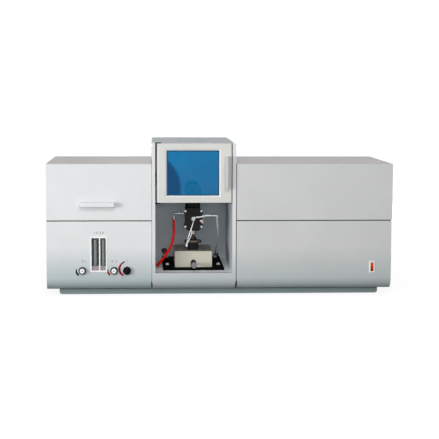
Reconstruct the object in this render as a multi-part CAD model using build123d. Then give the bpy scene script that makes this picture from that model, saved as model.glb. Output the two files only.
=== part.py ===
from build123d import *
import math
import os

# Atomic absorption spectrometer for flame work, in millimetres.
# Two cabinets stand either side of a taller burner chamber, all on one plinth.
# X runs to the right and Z up. While the pieces are modelled, Y is zero at the
# cabinets' front faces and grows towards the back. The last lines move all of
# them along Y, so that the origin lies under the middle of the whole object.

# Whole instrument
total_width = 1050.0
cabinet_depth = 420.0
left_width = 318.0
tower_width = 254.5
lower_height = 211.0
tower_rise = 64.5
tower_proud = 2.0
right_cover_overhang = 1.5

# Sheet metal
sheet = 2.0
thin_sheet = 1.5
seam_gap = 3.4
joint_gap = 1.0
right_joint_gap = 2.0
under_radius = 35.0
edge_radius = 3.0
rim_width = 3.0
flange_width = 9.0

# Clearances
overrun = 4.0
seat_gap = 0.3
running_gap = 0.05
loose_gap = 0.5

# Plinth and feet
plinth_height = 18.0
plinth_inset_side = 36.0
plinth_inset_front = 40.0
plinth_inset_rear = 30.0
plinth_wall = 2.5
plinth_corner = 8.0
plinth_rib = 3.0
foot_height = 2.0
foot_radius = 14.0
foot_stem_radius = 4.0
foot_inset = 30.0

# Burner chamber
pillar_left = 10.0
pillar_right = 11.0
pillar_depth = 22.0
pillar_round = 9.0
lip_height = 51.4
service_depth = 70.0
roof_drop = 3.0
roof_slot_count = 14
roof_slot_width = 3.0
roof_slot_length = 90.0
roof_slot_pitch = 9.0

# Chamber door
door_gap_left = 4.9
door_gap_right = 2.4
door_bottom = 54.8
door_thickness = 14.0
door_side_round = 6.9
door_skin = 2.5
door_rim = 5.0
window_left = 30.4
window_right = 37.9
window_low = 21.4
window_high = 21.7
window_bevel = 4.0
window_glass = 4.0
window_lap = 4.0
window_setback = 5.0
door_pin_radius = 2.0
door_pin_length = 6.0
door_lug = 2.4

# Bar handles
door_handle_width = 15.4
door_handle_length = 97.7
door_handle_reach = 22.0
door_handle_bar = 7.0
door_handle_post = 9.0
door_handle_right = 5.2
door_handle_low = 42.9
lid_handle_width = 103.0
lid_handle_height = 14.0
lid_handle_reach = 24.0
lid_handle_bar = 7.0
lid_handle_post = 10.0
lid_handle_left = 102.5
lid_handle_rise = 43.0
handle_round = 2.2

# Hinge along the back of the lamp lid
lid_back_band = 14.0
hinge_radius = 3.0
hinge_pin_radius = 1.2
hinge_leaf = 1.0
hinge_leaf_width = 11.0
hinge_knuckles = 11
hinge_end = 6.0

# Optical axis below the cabinets' tops and behind the front
optic_cover = 57.0
optic_back = 150.0
lens_tube_radius = 17.0
lens_tube_wall = 2.0
lens_flange_radius = 24.0
lens_flange = 3.0
lens_thickness = 5.0
lens_inset = 6.0
lens_tube_outside = 52.0
lens_tube_inside = 5.0

# Lamp turret
lamp_count = 6
lamp_ring = 42.0
lamp_radius = 18.0
lamp_base_radius = 16.5
lamp_length = 140.0
lamp_base_length = 34.0
lamp_window = 12.0
lamp_hole_gap = 0.15
turret_rim = 4.0
turret_floor_gap = 10.7
turret_disc = 6.0
turret_hub_radius = 12.0
turret_shaft_radius = 5.0
turret_back_x = 62.0
turret_spacing = 40.0
bracket_plate = 5.0
bracket_width = 90.0
bracket_foot = 40.0
motor_size = 42.0
motor_length = 34.0

# Flow meter
meter_left = 131.7
meter_low = 56.0
meter_width = 50.8
meter_height = 107.0
meter_border = 4.0
meter_proud = 1.5
meter_depth = 26.0
meter_divider = 4.0
meter_divider_right = 3.0
meter_tube_radius = 6.2
meter_bore_radius = 3.6
meter_end = 5.0
meter_foot = 16.0
meter_tube_back = 9.0
meter_socket = 3.0
float_radius = 3.2
float_height = 8.0
float_travel = 66.0

# Gas controls, from the left wall and above the cabinets' floor
control_height = 60.0
air_knob_at = 107.8
fuel_knob_at = 203.3
gas_knob_at = 242.3
dial_radius = 11.5
dial_depth = 7.0
cap_radius = 7.7
cap_depth = 9.0
gas_knob_radius = 12.0
gas_knob_depth = 17.0
gas_knob_grip = 6.0
knob_shaft_radius = 3.0
knob_flute = 1.2
valve_width = 26.0
valve_depth = 38.0
valve_height = 30.0
valve_nose_radius = 8.0
valve_nose = 8.0
valve_port_radius = 4.0
valve_port = 12.0
stub_radius = 4.0
stub_length = 16.0
stub_barrel_radius = 6.0
stub_nut = 17.0
stub_nut_height = 4.0
stub_flange = 15.0
stub_flange_depth = 4.0
stub_height = 50.0
stub_spacing = 45.0
stub_left = 80.0

# Power switch and inlet
bezel_width = 17.2
bezel_height = 35.6
bezel_border = 4.3
bezel_proud = 2.2
bezel_depth = 20.0
bezel_right = 51.5
bezel_low = 50.3
rocker_tilt = 8.0
rocker_depth = 9.0
rocker_pin_radius = 1.5
inlet_width = 30.0
inlet_height = 23.0
inlet_depth = 28.0
inlet_flange = 4.0
inlet_cavity_width = 22.0
inlet_cavity_height = 15.5
inlet_cavity_depth = 16.0
inlet_blade_width = 2.0
inlet_blade_height = 4.0
inlet_blade_pitch = 7.0
inlet_right = 60.0
inlet_low = 44.0

# Rear panels
louvre_rows = 9
louvre_width = 70.0
louvre_height = 3.0
louvre_pitch = 12.0

# Monochromator and supply
casting_left = 72.0
casting_width = 300.0
casting_front = 96.0
casting_depth = 250.0
casting_drop = 9.2
casting_height = 88.0
casting_wall = 6.0
casting_leg = 24.0
grating_width = 40.0
grating_height = 40.0
grating_thickness = 8.0
grating_shaft_radius = 5.0
grating_right = 60.0
tube_housing_radius = 22.0
tube_housing_length = 70.0
supply_width = 160.0
supply_depth = 200.0
supply_height = 90.0
supply_right = 40.0
supply_front = 120.0

# Atomiser carriage. Its middle lies on atomiser_x
atomiser_shift = 128.6
plate_width = 189.0
plate_front = 58.0
plate_back = 4.0
plate_thickness = 6.0
box_width = 116.0
box_front = 85.0
box_depth = 163.0
box_height = 50.6
box_round = 2.0
box_slot_width = 16.8
box_slot_top = 23.9
top_slot_length = 33.0
top_slot_width = 22.0
column_back = 130.0
column_radius = 16.9
column_height = 21.0
column_spigot = 10.0
column_groove_count = 28
groove_depth = 0.9
post_radius = 6.0
post_depth = 37.0
lift_down = 8.0
wheel_radius = 26.6
wheel_height = 8.0
wheel_hub_radius = 10.5
wheel_hub_rise = 9.5
wheel_recess = 2.0
wheel_groove_count = 44
neck_nut = 17.0
neck_nut_height = 12.0
rail_width = 8.0
rail_height = 8.0
rail_spacing = 52.0
slide_plate = 2.0
block_length = 58.0
screw_height = 12.6
screw_radius = 4.0
screw_reach = 57.0
screw_tail = 108.0
bearing_thickness = 8.0
bearing_height = 24.0
bearing_width = 30.0
front_knob_radius = 8.7
front_knob_depth = 22.0
knob_groove_count = 24

# Spray chamber, nebuliser and burner
flame_drop = 9.7
flange_width_x = 60.0
flange_height = 66.0
flange_thickness = 8.0
flange_chamfer = 9.0
flange_front = 96.0
flange_rise = 2.5
screw_pitch_x = 50.0
screw_pitch_z = 48.5
screw_head_radius = 3.4
screw_head_depth = 3.0
screw_shank_radius = 2.0
screw_shank = 9.0
socket_radius = 1.4
socket_depth = 1.6
body_width = 47.0
body_height = 72.0
body_depth = 104.0
body_chamfer = 8.0
riser_width = 46.0
riser_depth = 50.0
riser_height = 30.0
burner_back = 165.0
burner_neck_radius = 17.3
burner_neck = 9.0
burner_spigot_radius = 12.0
burner_spigot = 16.0
burner_width = 49.0
burner_top_width = 30.0
burner_length = 112.0
burner_height = 37.0
burner_shoulder = 20.0
burner_slot_width = 1.2
burner_slot_length = 100.0
burner_slot_depth = 12.0
gland_radius = 7.2
gland_depth = 11.0
gland_rise = 2.0
gland_nut_radius = 5.0
elbow_height = 14.0
elbow_back = 34.0
elbow_radius = 3.2
elbow_reach = 34.0
elbow_nut = 11.0
elbow_nut_length = 9.0
port_radius = 4.2
port_length = 9.0
port_drop = 6.0

# Hoses. Each has its radius, and its route is a list of points
red_radius = 3.8
clear_radius = 2.5
feed_radius = 2.4
capillary_radius = 1.2
capillary_tip_radius = 2.4
capillary_tip = 8.0
grommet_flange = 2.0
grommet_lip = 5.2
grommet_bore_gap = 0.3
run_share = 0.45

# Places worked out from the sizes above
left_x = -total_width / 2
right_x = total_width / 2
tower_left = left_x + left_width
tower_right = tower_left + tower_width
floor_z = foot_height + plinth_height
seam_z = floor_z + lower_height
deck_z = seam_z - seam_gap / 2
turret_disc_radius = lamp_ring + lamp_radius + turret_rim
turret_z = deck_z + turret_floor_gap + turret_disc_radius
optic_height = turret_z + lamp_ring
side_top = optic_height + optic_cover
tower_top = side_top + tower_rise
panel_y = cabinet_depth - sheet
chamber_depth = cabinet_depth - service_depth
cover_z = seam_z + seam_gap / 2
left_end = tower_left - joint_gap
right_start = tower_right + right_joint_gap
right_end = right_x - right_cover_overhang
lip_z = floor_z + lip_height
room_left = tower_left + pillar_left
room_right = tower_right - pillar_right
room_top = tower_top - roof_drop - 2 * sheet - seat_gap
door_left = room_left + door_gap_left
door_right = room_right - door_gap_right
door_low = seam_z + door_bottom
door_high = tower_top - roof_drop
door_front = -tower_proud
door_back = door_front + door_thickness
atomiser_x = tower_left + atomiser_shift
plate_top = lip_z + plate_thickness
box_top = plate_top + box_height
screw_z = plate_top + screw_height
column_top = box_top + seat_gap + column_height
burner_z = optic_height - flame_drop - burner_height
riser_top = burner_z - burner_neck
body_top = riser_top - riser_height
body_low = body_top - body_height
flange_z = body_low + body_height / 2 + flange_rise
flange_back = flange_front + flange_thickness
parts = {}


def block(x, y, z):
    """A box between two values along each axis."""
    centre = Pos((x[0] + x[1]) / 2, (y[0] + y[1]) / 2, (z[0] + z[1]) / 2)
    return centre * Box(x[1] - x[0], y[1] - y[0], z[1] - z[0])


def around(middle, size):
    """The two ends of a length centred on a place."""
    return (middle - size / 2, middle + size / 2)


def rod_x(x, y, z, radius):
    """A round bar along X."""
    return Pos((x[0] + x[1]) / 2, y, z) * Rot(0, 90, 0) * Cylinder(radius, x[1] - x[0])


def rod_y(x, y, z, radius):
    """A round bar along Y."""
    return Pos(x, (y[0] + y[1]) / 2, z) * Rot(90, 0, 0) * Cylinder(radius, y[1] - y[0])


def rod_z(x, y, z, radius):
    """A round bar along Z."""
    return Pos(x, y, (z[0] + z[1]) / 2) * Cylinder(radius, z[1] - z[0])


def side_profile(y, z, under):
    """Side outline of a cabinet: square, but for the front foot that curves under."""
    outline = Pos(sum(y) / 2, sum(z) / 2) * Rectangle(y[1] - y[0], z[1] - z[0])
    foot = outline.vertices().group_by(Axis.Y)[0].sort_by(Axis.X)[0]
    return fillet(foot, under)


def extrude_x(profile, x):
    """A side outline drawn in Y and Z, stretched from one X to another."""
    return extrude(Plane.YZ.offset(x[0]) * profile, x[1] - x[0])


def grooved_disc(radius, grooves, depth, height):
    """A disc standing on Z zero with straight grooves round its rim, to grip."""
    cutter = Rot(0, 0, 45) * Rectangle(depth * math.sqrt(2), depth * math.sqrt(2))
    rim = Circle(radius) - PolarLocations(radius, grooves) * cutter
    return extrude(rim, height)


def hexagon(across, height):
    """A hexagonal nut blank standing on Z zero, measured across its flats."""
    return extrude(RegularPolygon(across / math.sqrt(3), 6), height)


def hose(name, points, radius):
    """A hose along straight runs joined by arcs as large as its runs allow."""
    places = [Vector(*point) for point in points]
    runs = [after - before for before, after in zip(places, places[1:])]
    radii = []
    for first, second in zip(runs, runs[1:]):
        half_turn = math.radians(first.get_angle(second)) / 2
        radii.append(run_share * min(first.length, second.length) / math.tan(half_turn))
    path = FilletPolyline(*places, radius=radii)
    tube = sweep(Plane(origin=path @ 0, z_dir=path % 0) * Circle(radius), path=path)
    wanted = math.pi * radius**2 * path.length
    print(name, "length", round(path.length, 1), "volume share", round(tube.volume / wanted, 4))
    print(name, "radii in diameters", [round(bend / (2 * radius), 1) for bend in radii])
    return tube


def lower_cabinet(x):
    """A lower cabinet: front, sides, floor and deck, with a rim that carries the upper cover."""
    outer = extrude_x(side_profile((0, panel_y), (floor_z, deck_z), under_radius), x)
    inside = (x[0] + sheet, x[1] - sheet)
    hollow_profile = side_profile(
        (sheet, cabinet_depth), (floor_z + sheet, deck_z - sheet), under_radius - sheet
    )
    rim = block(inside, (sheet, panel_y), (deck_z - sheet, cover_z))
    well = (inside[0] + rim_width, inside[1] - rim_width)
    rim -= block(well, (sheet + rim_width, panel_y - rim_width), (deck_z, cover_z + overrun))
    return outer - extrude_x(hollow_profile, inside) + rim


def upper_cover(x, y_end, wall_ends):
    """An upper cover: front, top and both ends, with a flange inside its lower edge."""
    outer = block(x, (0, y_end), (cover_z, side_top))
    front_top = outer.edges().filter_by(Axis.X).group_by(Axis.Z)[-1].sort_by(Axis.Y)[0]
    outer = fillet(front_top, edge_radius)
    inside = (x[0] + wall_ends[0], x[1] - wall_ends[1])
    outer -= block(inside, (sheet, cabinet_depth), (cover_z + sheet, side_top - sheet))
    well = (inside[0] + flange_width, inside[1] - flange_width)
    outer -= block(well, (sheet + flange_width, cabinet_depth), (floor_z, side_top - sheet))
    return outer


def bar_handle(width, height, reach, bar, post):
    """A bar pull lying along X. Its bar is in front, and a post at each end reaches Y zero."""
    pull = block(around(0, width), (-reach, 0), around(0, height))
    gap = block(around(0, width - 2 * post), (bar - reach, overrun), around(0, 2 * height))
    pull -= gap
    front = pull.faces().sort_by(Axis.Y)[0]
    return fillet(front.edges(), handle_round)


# Plinth and feet
plinth_x = (left_x + plinth_inset_side, right_x - plinth_inset_side)
plinth_y = (plinth_inset_front, cabinet_depth - plinth_inset_rear)
foot_rows = [plinth_y[0] + foot_inset, plinth_y[1] - foot_inset]
foot_columns = [plinth_x[0] + foot_inset, 0, plinth_x[1] - foot_inset]
foot_places = [(x, y) for x in foot_columns for y in foot_rows]


def make_base_frame():
    """The plinth: a tray with rounded lower corners, cross ribs and holes for the feet."""
    tray = block(plinth_x, plinth_y, (foot_height, floor_z))
    corners = tray.edges().group_by(Axis.Z)[0].filter_by(Axis.Y)
    tray = fillet(corners, plinth_corner)
    inner_x = (plinth_x[0] + plinth_wall, plinth_x[1] - plinth_wall)
    inner_y = (plinth_y[0] + plinth_wall, plinth_y[1] - plinth_wall)
    tray -= block(inner_x, inner_y, (foot_height + plinth_wall, floor_z + overrun))
    for wall in (tower_left, tower_right):
        tray += block(around(wall, plinth_rib), inner_y, (foot_height, floor_z))
    for x, y in foot_places:
        hole = foot_stem_radius + running_gap
        tray -= rod_z(x, y, (0, floor_z), hole)
    return tray


def make_feet():
    """Round rubber feet, each with a stem pressed up through the plinth."""
    feet = []
    for x, y in foot_places:
        pad = rod_z(x, y, (0, foot_height), foot_radius)
        feet.append(pad + rod_z(x, y, (0, foot_height + plinth_wall + sheet), foot_stem_radius))
    return Compound(children=feet)


parts["base_frame"] = make_base_frame()
parts["rubber_feet"] = make_feet()

# Cabinets
left_span = (left_x, left_end)
right_span = (right_start, right_end)
meter_x = left_x + meter_left + meter_width / 2
meter_z = floor_z + meter_low + meter_height / 2
control_z = floor_z + control_height
knob_places = {
    "air_knob": left_x + air_knob_at,
    "fuel_knob": left_x + fuel_knob_at,
    "on_off_knob": left_x + gas_knob_at,
}
bezel_x = right_x - bezel_right - bezel_width / 2
bezel_z = floor_z + bezel_low + bezel_height / 2
rocker_size = (bezel_width - 2 * bezel_border, bezel_height - 2 * bezel_border)


def make_left_lower_cabinet():
    """The gas cabinet, with its openings for the flow meter and the knobs' shafts."""
    cabinet = lower_cabinet(left_span)
    window = (meter_width - meter_border, meter_height - meter_border)
    through = (-overrun, sheet + overrun)
    cabinet -= block(around(meter_x, window[0]), through, around(meter_z, window[1]))
    for x in knob_places.values():
        cabinet -= rod_y(x, through, control_z, knob_shaft_radius + loose_gap)
    return cabinet


def make_right_lower_cabinet():
    """The supply cabinet, with its opening for the power switch."""
    cabinet = lower_cabinet(right_span)
    hole = (bezel_width - bezel_border, bezel_height - bezel_border)
    through = (-overrun, sheet + overrun)
    return cabinet - block(around(bezel_x, hole[0]), through, around(bezel_z, hole[1]))


def lens_hole(x):
    """The round way for a lens tube through the walls about one X."""
    hole = lens_tube_radius + seat_gap
    return rod_x((x - pillar_left * 3, x + pillar_left * 3), optic_back, optic_height, hole)


parts["left_lower_cabinet"] = make_left_lower_cabinet()
parts["right_lower_cabinet"] = make_right_lower_cabinet()
parts["right_upper_cover"] = (
    upper_cover((right_start, right_x), panel_y, (sheet, sheet + right_cover_overhang))
    - lens_hole(right_start)
)


# Rear panels
def louvres(x, z):
    """A field of level slots for a rear panel."""
    slot = Box(louvre_width, sheet + 2 * overrun, louvre_height)
    rows = GridLocations(louvre_width * 1.25, louvre_pitch, 2, louvre_rows)
    turned = [Location((x + at.position.X, panel_y + sheet / 2, z + at.position.Y)) for at in rows]
    return [place * slot for place in turned]


stub_x = [left_x + stub_left, left_x + stub_left + stub_spacing]
stub_z = floor_z + stub_height
inlet_x = right_x - inlet_right - inlet_width / 2
inlet_z = floor_z + inlet_low + inlet_height / 2
rail_y = panel_y - lid_back_band
hinge_y = rail_y - seat_gap - hinge_radius
hinge_z = side_top - hinge_radius
lid_end = hinge_y - hinge_radius - seat_gap


def make_left_rear_panel():
    """The gas and lamp cabinets' back, folded forward over the top to carry the lid's hinge."""
    span = (left_x, left_end)
    panel = block(span, (panel_y, cabinet_depth), (floor_z, side_top))
    panel += block(span, (rail_y, cabinet_depth), (side_top - sheet, side_top))
    fold_z = (cover_z, hinge_z - hinge_radius - seat_gap)
    for end in ((left_x, left_x + sheet), (left_end - sheet, left_end)):
        panel += block(end, (lid_end + seat_gap, cabinet_depth), fold_z)
    panel -= louvres(sum(span) / 2, (seam_z + side_top) / 2)
    for x in stub_x:
        panel -= rod_y(x, (panel_y - overrun, cabinet_depth + overrun), stub_z, stub_barrel_radius + seat_gap)
    return panel


def make_right_rear_panel():
    """The back of the supply and optics cabinets, with louvres and the mains inlet's hole."""
    panel = block((right_start, right_end), (panel_y, cabinet_depth), (floor_z, side_top))
    panel -= louvres(sum(right_span) / 2, (floor_z + seam_z) / 2)
    hole = (inlet_width - inlet_flange, inlet_height - inlet_flange)
    through = (panel_y - overrun, cabinet_depth + overrun)
    return panel - block(around(inlet_x, hole[0]), through, around(inlet_z, hole[1]))


parts["left_rear_panel"] = make_left_rear_panel()
parts["right_rear_panel"] = make_right_rear_panel()


# Burner chamber
def make_chamber_shell():
    """The tower: side walls, front pillars, the panel below the opening and the back."""
    tower = (tower_left, tower_right)
    outline = side_profile((-tower_proud, cabinet_depth), (floor_z, tower_top), under_radius)
    shell = extrude_x(outline, tower)
    outer_edges = shell.edges().group_by(Axis.Z)[-1].filter_by(Axis.Y)
    shell = fillet(outer_edges, pillar_round)
    hollow = side_profile(
        (sheet - tower_proud, panel_y), (floor_z + sheet, lip_z - sheet), under_radius - sheet
    )
    inside = (tower_left + sheet, tower_right - sheet)
    shell -= extrude_x(hollow, inside)
    shell -= block(inside, (pillar_depth, panel_y), (floor_z + sheet, tower_top + overrun))
    room = (room_left, room_right)
    shell -= block(room, (-overrun, cabinet_depth - sheet), (lip_z, tower_top + overrun))
    ledge = (tower_top - roof_drop - 2 * sheet, tower_top - roof_drop - sheet)
    for wall in ((inside[0], room_left), (room_right, inside[1])):
        shell += block(wall, (pillar_depth, panel_y), ledge)
    shell -= lens_hole(tower_left)
    shell -= lens_hole(tower_right)
    return shell


def make_chamber_liner():
    """The grey lining of the burner room: floor, side walls and back wall."""
    outside = (room_left - thin_sheet, room_right + thin_sheet)
    front = pillar_depth + seat_gap
    liner = block(outside, (front, chamber_depth + thin_sheet), (lip_z - thin_sheet, room_top))
    liner -= block(
        (room_left, room_right), (front - overrun, chamber_depth), (lip_z, room_top + overrun)
    )
    liner -= lens_hole(tower_left)
    liner -= lens_hole(tower_right)
    for x, z, radius in ((red_route[-1][0], red_route[-1][2], red_radius),
                         (clear_route[-1][0], clear_route[-1][2], clear_radius)):
        hole = radius + grommet_lip - grommet_flange / 2
        liner -= rod_y(x, (chamber_depth - overrun, chamber_depth + overrun), z, hole)
    return liner


def make_chamber_roof():
    """The roof between the side walls, slotted above the flame."""
    top = tower_top - roof_drop
    inside = (tower_left + sheet, tower_right - sheet)
    roof = block(inside, (door_back + seat_gap, panel_y), (top - sheet, top))
    inner_front = (door_back + seat_gap, pillar_depth)
    roof -= block((inside[0] - overrun, room_left), inner_front, (room_top, tower_top))
    roof -= block((room_right, inside[1] + overrun), inner_front, (room_top, tower_top))
    slot = Box(roof_slot_length, roof_slot_width, sheet + 2 * overrun)
    middle = burner_back + roof_slot_pitch * roof_slot_count / 4
    places = GridLocations(roof_slot_length, roof_slot_pitch, 1, roof_slot_count)
    return roof - [Pos(atomiser_x, middle, top - sheet / 2) * place * slot for place in places]


# Hose routes, chosen point by point. Each point is a share of half the base
# plate's width to the right of the post, of the way from the post to the back
# wall or to the front, and of the rise from the chamber's floor to the flange
red_shares = [
    (-0.6307, 0, 0.9691), (-0.6307, 0, 0.8018), (-0.636, -0.0077, 0.6409),
    (-0.6836, -0.0346, 0.4929), (-0.7841, -0.0731, 0.361), (-0.9164, -0.1154, 0.242),
    (-1.0169, -0.1346, 0.1615), (-1.091, -0.1077, 0.1036), (-1.1492, -0.0423, 0.0586),
    (-1.181, 0.0273, 0.0347), (-1.1757, 0.1273, 0.036), (-1.1228, 0.2455, 0.0457),
    (-1.0328, 0.3727, 0.065), (-0.9376, 0.5045, 0.0907), (-0.8741, 0.6364, 0.1197),
    (-0.8688, 0.7636, 0.1454), (-0.9058, 0.8591, 0.157), (-0.9206, 0.95, 0.1602),
    (-0.9206, 1.0545, 0.1602),
]
clear_shares = [
    (0.7767, -0.3231, 1.0206), (0.7767, -0.3231, 0.9369), (0.7979, -0.2769, 0.8211),
    (0.8243, -0.1615, 0.6988), (0.8349, 0.0227, 0.5734), (0.8296, 0.1545, 0.4543),
    (0.8085, 0.2864, 0.3449), (0.7979, 0.4227, 0.242), (0.819, 0.5636, 0.1583),
    (0.8614, 0.7091, 0.0972), (0.8857, 0.8364, 0.0682), (0.891, 0.9409, 0.0605),
    (0.891, 1.0636, 0.0605),
]
feed_shares = [
    (0.0836, -0.3538, 1.0399), (0.1735, -0.3538, 1.0399), (0.2952, -0.3385, 1.0528),
    (0.4275, -0.3231, 1.0721), (0.5545, -0.3231, 1.0721),
]
capillary_shares = [
    (-0.0011, -0.3923, 1.0013), (-0.0011, -0.4538, 1.0013), (-0.0063, -0.5077, 0.9852),
    (-0.0222, -0.5423, 0.9466), (-0.0487, -0.5577, 0.8919), (-0.0857, -0.5577, 0.8275),
    (-0.128, -0.5462, 0.7503), (-0.1704, -0.5269, 0.6667), (-0.2021, -0.5038, 0.583),
    (-0.2233, -0.4808, 0.5058),
]


def hose_point(aside, back, rise):
    """A point of a hose's route, worked out from its three shares."""
    way = chamber_depth - column_back if back > 0 else column_back
    return (
        atomiser_x + aside * plate_width / 2, column_back + back * way, lip_z + rise * (flange_z - lip_z)
    )


red_route = [hose_point(*share) for share in red_shares]
clear_route = [hose_point(*share) for share in clear_shares]
feed_route = [hose_point(*share) for share in feed_shares]
capillary_route = [hose_point(*share) for share in capillary_shares]


def make_grommets():
    """The two grommets in the chamber's back wall, one for each hose."""
    rings = []
    for route, radius in ((red_route, red_radius), (clear_route, clear_radius)):
        x, z = route[-1][0], route[-1][2]
        lip = (chamber_depth - grommet_flange, chamber_depth)
        neck = (chamber_depth, chamber_depth + thin_sheet + grommet_flange)
        ring = rod_y(x, lip, z, radius + grommet_lip)
        ring += rod_y(x, neck, z, radius + grommet_lip - grommet_flange)
        bore = (lip[0] - overrun, neck[1] + overrun)
        rings.append(ring - rod_y(x, bore, z, radius + grommet_bore_gap))
    return Compound(children=rings)


parts["chamber_shell"] = make_chamber_shell()
parts["chamber_liner"] = make_chamber_liner()
parts["chamber_roof"] = make_chamber_roof()
parts["hose_grommets"] = make_grommets()


# Chamber door
door_x = (door_left, door_right)
door_z = (door_low, door_high)
pane_x = (door_left + window_left, door_right - window_right)
pane_z = (door_low + window_low, door_high - window_high)
door_axis = (door_left + door_thickness / 2, door_front + door_thickness / 2)


def grown(span, extra):
    """A span made longer by the same amount at both ends."""
    return (span[0] - extra, span[1] + extra)


def make_door_frame():
    """The door: a shallow pan with a bevelled window opening, round where it is hinged."""
    door = block(door_x, (door_front, door_back), door_z)
    uprights = door.edges().filter_by(Axis.Z).group_by(Axis.X)
    door = fillet(uprights[0], door_side_round)
    door = fillet(door.edges().filter_by(Axis.Z).group_by(Axis.X)[-1], handle_round)
    inner_x = (door_x[0] + door_thickness, door_x[1] - door_rim)
    pan = block(inner_x, (door_front + door_skin, door_back + overrun), grown(door_z, -door_rim))
    frame_x = grown(pane_x, window_lap + door_rim)
    frame_z = grown(pane_z, window_lap + door_rim)
    pan -= block(frame_x, (door_front, door_back + overrun), frame_z)
    door -= pan
    seat = door_front + window_setback
    lap_x, lap_z = grown(pane_x, window_lap), grown(pane_z, window_lap)
    door -= block(lap_x, (seat, door_back + overrun), lap_z)
    wide = (pane_x[1] - pane_x[0] + 2 * window_bevel, pane_z[1] - pane_z[0] + 2 * window_bevel)
    narrow = (pane_x[1] - pane_x[0], pane_z[1] - pane_z[0])
    middle = Vector(sum(pane_x) / 2, door_front, sum(pane_z) / 2)
    face = Plane(origin=middle, x_dir=(1, 0, 0), z_dir=(0, 1, 0))
    bevel = loft([face * Rectangle(*wide), face.offset(window_setback) * Rectangle(*narrow)])
    door -= bevel
    for z in door_z:
        pin_hole = door_pin_radius + running_gap
        door -= rod_z(*door_axis, grown((z, z), door_pin_length + seat_gap), pin_hole)
    return door


def make_door_window():
    """The blue window, seated against the lap behind the bevel."""
    seat = door_front + window_setback
    pane = (grown(pane_x, window_lap - seat_gap), grown(pane_z, window_lap - seat_gap))
    return block(pane[0], (seat, seat + window_glass), pane[1])


def make_door_hinges():
    """Two lugs on the left pillar and chamber head, each with the pin the door turns on."""
    lugs = []
    for z, way in ((door_low, -1), (door_high, 1)):
        near, far = z + way * seat_gap, z + way * (seat_gap + door_lug)
        lug_y = around(door_axis[1], 2 * door_side_round)
        plate = block((room_left, door_axis[0] + door_side_round), lug_y, sorted((near, far)))
        pin = sorted((z - way * door_pin_length, far))
        lugs.append(plate + rod_z(*door_axis, pin, door_pin_radius))
    return Compound(children=lugs)


def make_door_handle():
    """The upright bar pull at the door's free side."""
    pull = bar_handle(
        door_handle_length, door_handle_width, door_handle_reach, door_handle_bar, door_handle_post
    )
    x = door_right - door_handle_right - door_handle_width / 2
    z = door_low + door_handle_low + door_handle_length / 2
    return Pos(x, door_front, z) * Rot(0, 90, 0) * pull


parts["door_frame"] = make_door_frame()
parts["door_window"] = make_door_window()
parts["door_hinges"] = make_door_hinges()
parts["door_handle"] = make_door_handle()

# Lamp lid and its hinge
hinge_x = (left_x + hinge_end, left_end - hinge_end)
knuckle = (hinge_x[1] - hinge_x[0]) / hinge_knuckles


def hinge_leaf_part(first, y):
    """One leaf of the long hinge: a strip under the sheet and every second knuckle."""
    leaf = block(hinge_x, y, (side_top - sheet - hinge_leaf, side_top - sheet))
    reach = grown((hinge_y, hinge_y), hinge_radius + seat_gap)
    leaf -= block(grown(hinge_x, overrun), reach, grown((hinge_z, hinge_z), 2 * hinge_radius))
    for number in range(first, hinge_knuckles, 2):
        start = hinge_x[0] + number * knuckle
        span = (start + seat_gap / 2, start + knuckle - seat_gap / 2)
        leaf += rod_x(span, hinge_y, hinge_z, hinge_radius)
        tongue = (y[0], hinge_y) if y[0] < hinge_y else (hinge_y, y[1])
        leaf += block(span, tongue, (side_top - sheet - hinge_leaf, side_top - sheet))
    return leaf - rod_x(grown(hinge_x, overrun), hinge_y, hinge_z, hinge_pin_radius + running_gap)


def make_lid_handle():
    """The level bar pull low on the lid's front."""
    pull = bar_handle(
        lid_handle_width, lid_handle_height, lid_handle_reach, lid_handle_bar, lid_handle_post
    )
    x = left_x + lid_handle_left + lid_handle_width / 2
    z = seam_z + lid_handle_rise + lid_handle_height / 2
    return Pos(x, 0, z) * pull


parts["lamp_lid"] = upper_cover(left_span, lid_end, (sheet, sheet)) - lens_hole(left_end)
parts["lid_handle"] = make_lid_handle()
parts["lid_hinge_moving_leaf"] = hinge_leaf_part(1, (hinge_y - hinge_leaf_width, hinge_y))
parts["lid_hinge_fixed_leaf"] = hinge_leaf_part(0, (hinge_y, hinge_y + hinge_leaf_width))
parts["lid_hinge_pin"] = rod_x(hinge_x, hinge_y, hinge_z, hinge_pin_radius)


# Lenses in the chamber's walls
def lens_span(side):
    """Where a lens tube begins and ends along X, for the left wall or the right one."""
    if side < 0:
        return (tower_left, room_left + lens_tube_inside)
    return (room_right - lens_tube_inside, tower_right + lens_tube_outside)


def make_lens_tubes():
    """A flanged tube through each side wall, in line with the lamp and the flame."""
    tubes = []
    for side, inner in ((-1, room_left), (1, room_right)):
        span = lens_span(side)
        tube = rod_x(span, optic_back, optic_height, lens_tube_radius)
        flange = sorted((inner, inner - side * lens_flange))
        tube += rod_x(flange, optic_back, optic_height, lens_flange_radius)
        way = grown(span, overrun)
        bore = lens_tube_radius - lens_tube_wall
        tubes.append(tube - rod_x(way, optic_back, optic_height, bore))
    return Compound(children=tubes)


def make_lens_glasses():
    """The lens near each tube's outer end."""
    lenses = []
    for side, outer in ((-1, lens_span(-1)[0]), (1, lens_span(1)[1])):
        near = outer - side * lens_inset
        span = sorted((near, near - side * lens_thickness))
        radius = lens_tube_radius - lens_tube_wall - running_gap
        lenses.append(rod_x(span, optic_back, optic_height, radius))
    return Compound(children=lenses)


parts["lens_tubes"] = make_lens_tubes()
parts["lens_glasses"] = make_lens_glasses()

# Lamp turret
disc_x = left_x + turret_back_x
lamp_x = disc_x + turret_spacing + turret_disc + lamp_length / 2
bracket_x = (disc_x - seat_gap - bracket_plate, disc_x - seat_gap)


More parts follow.
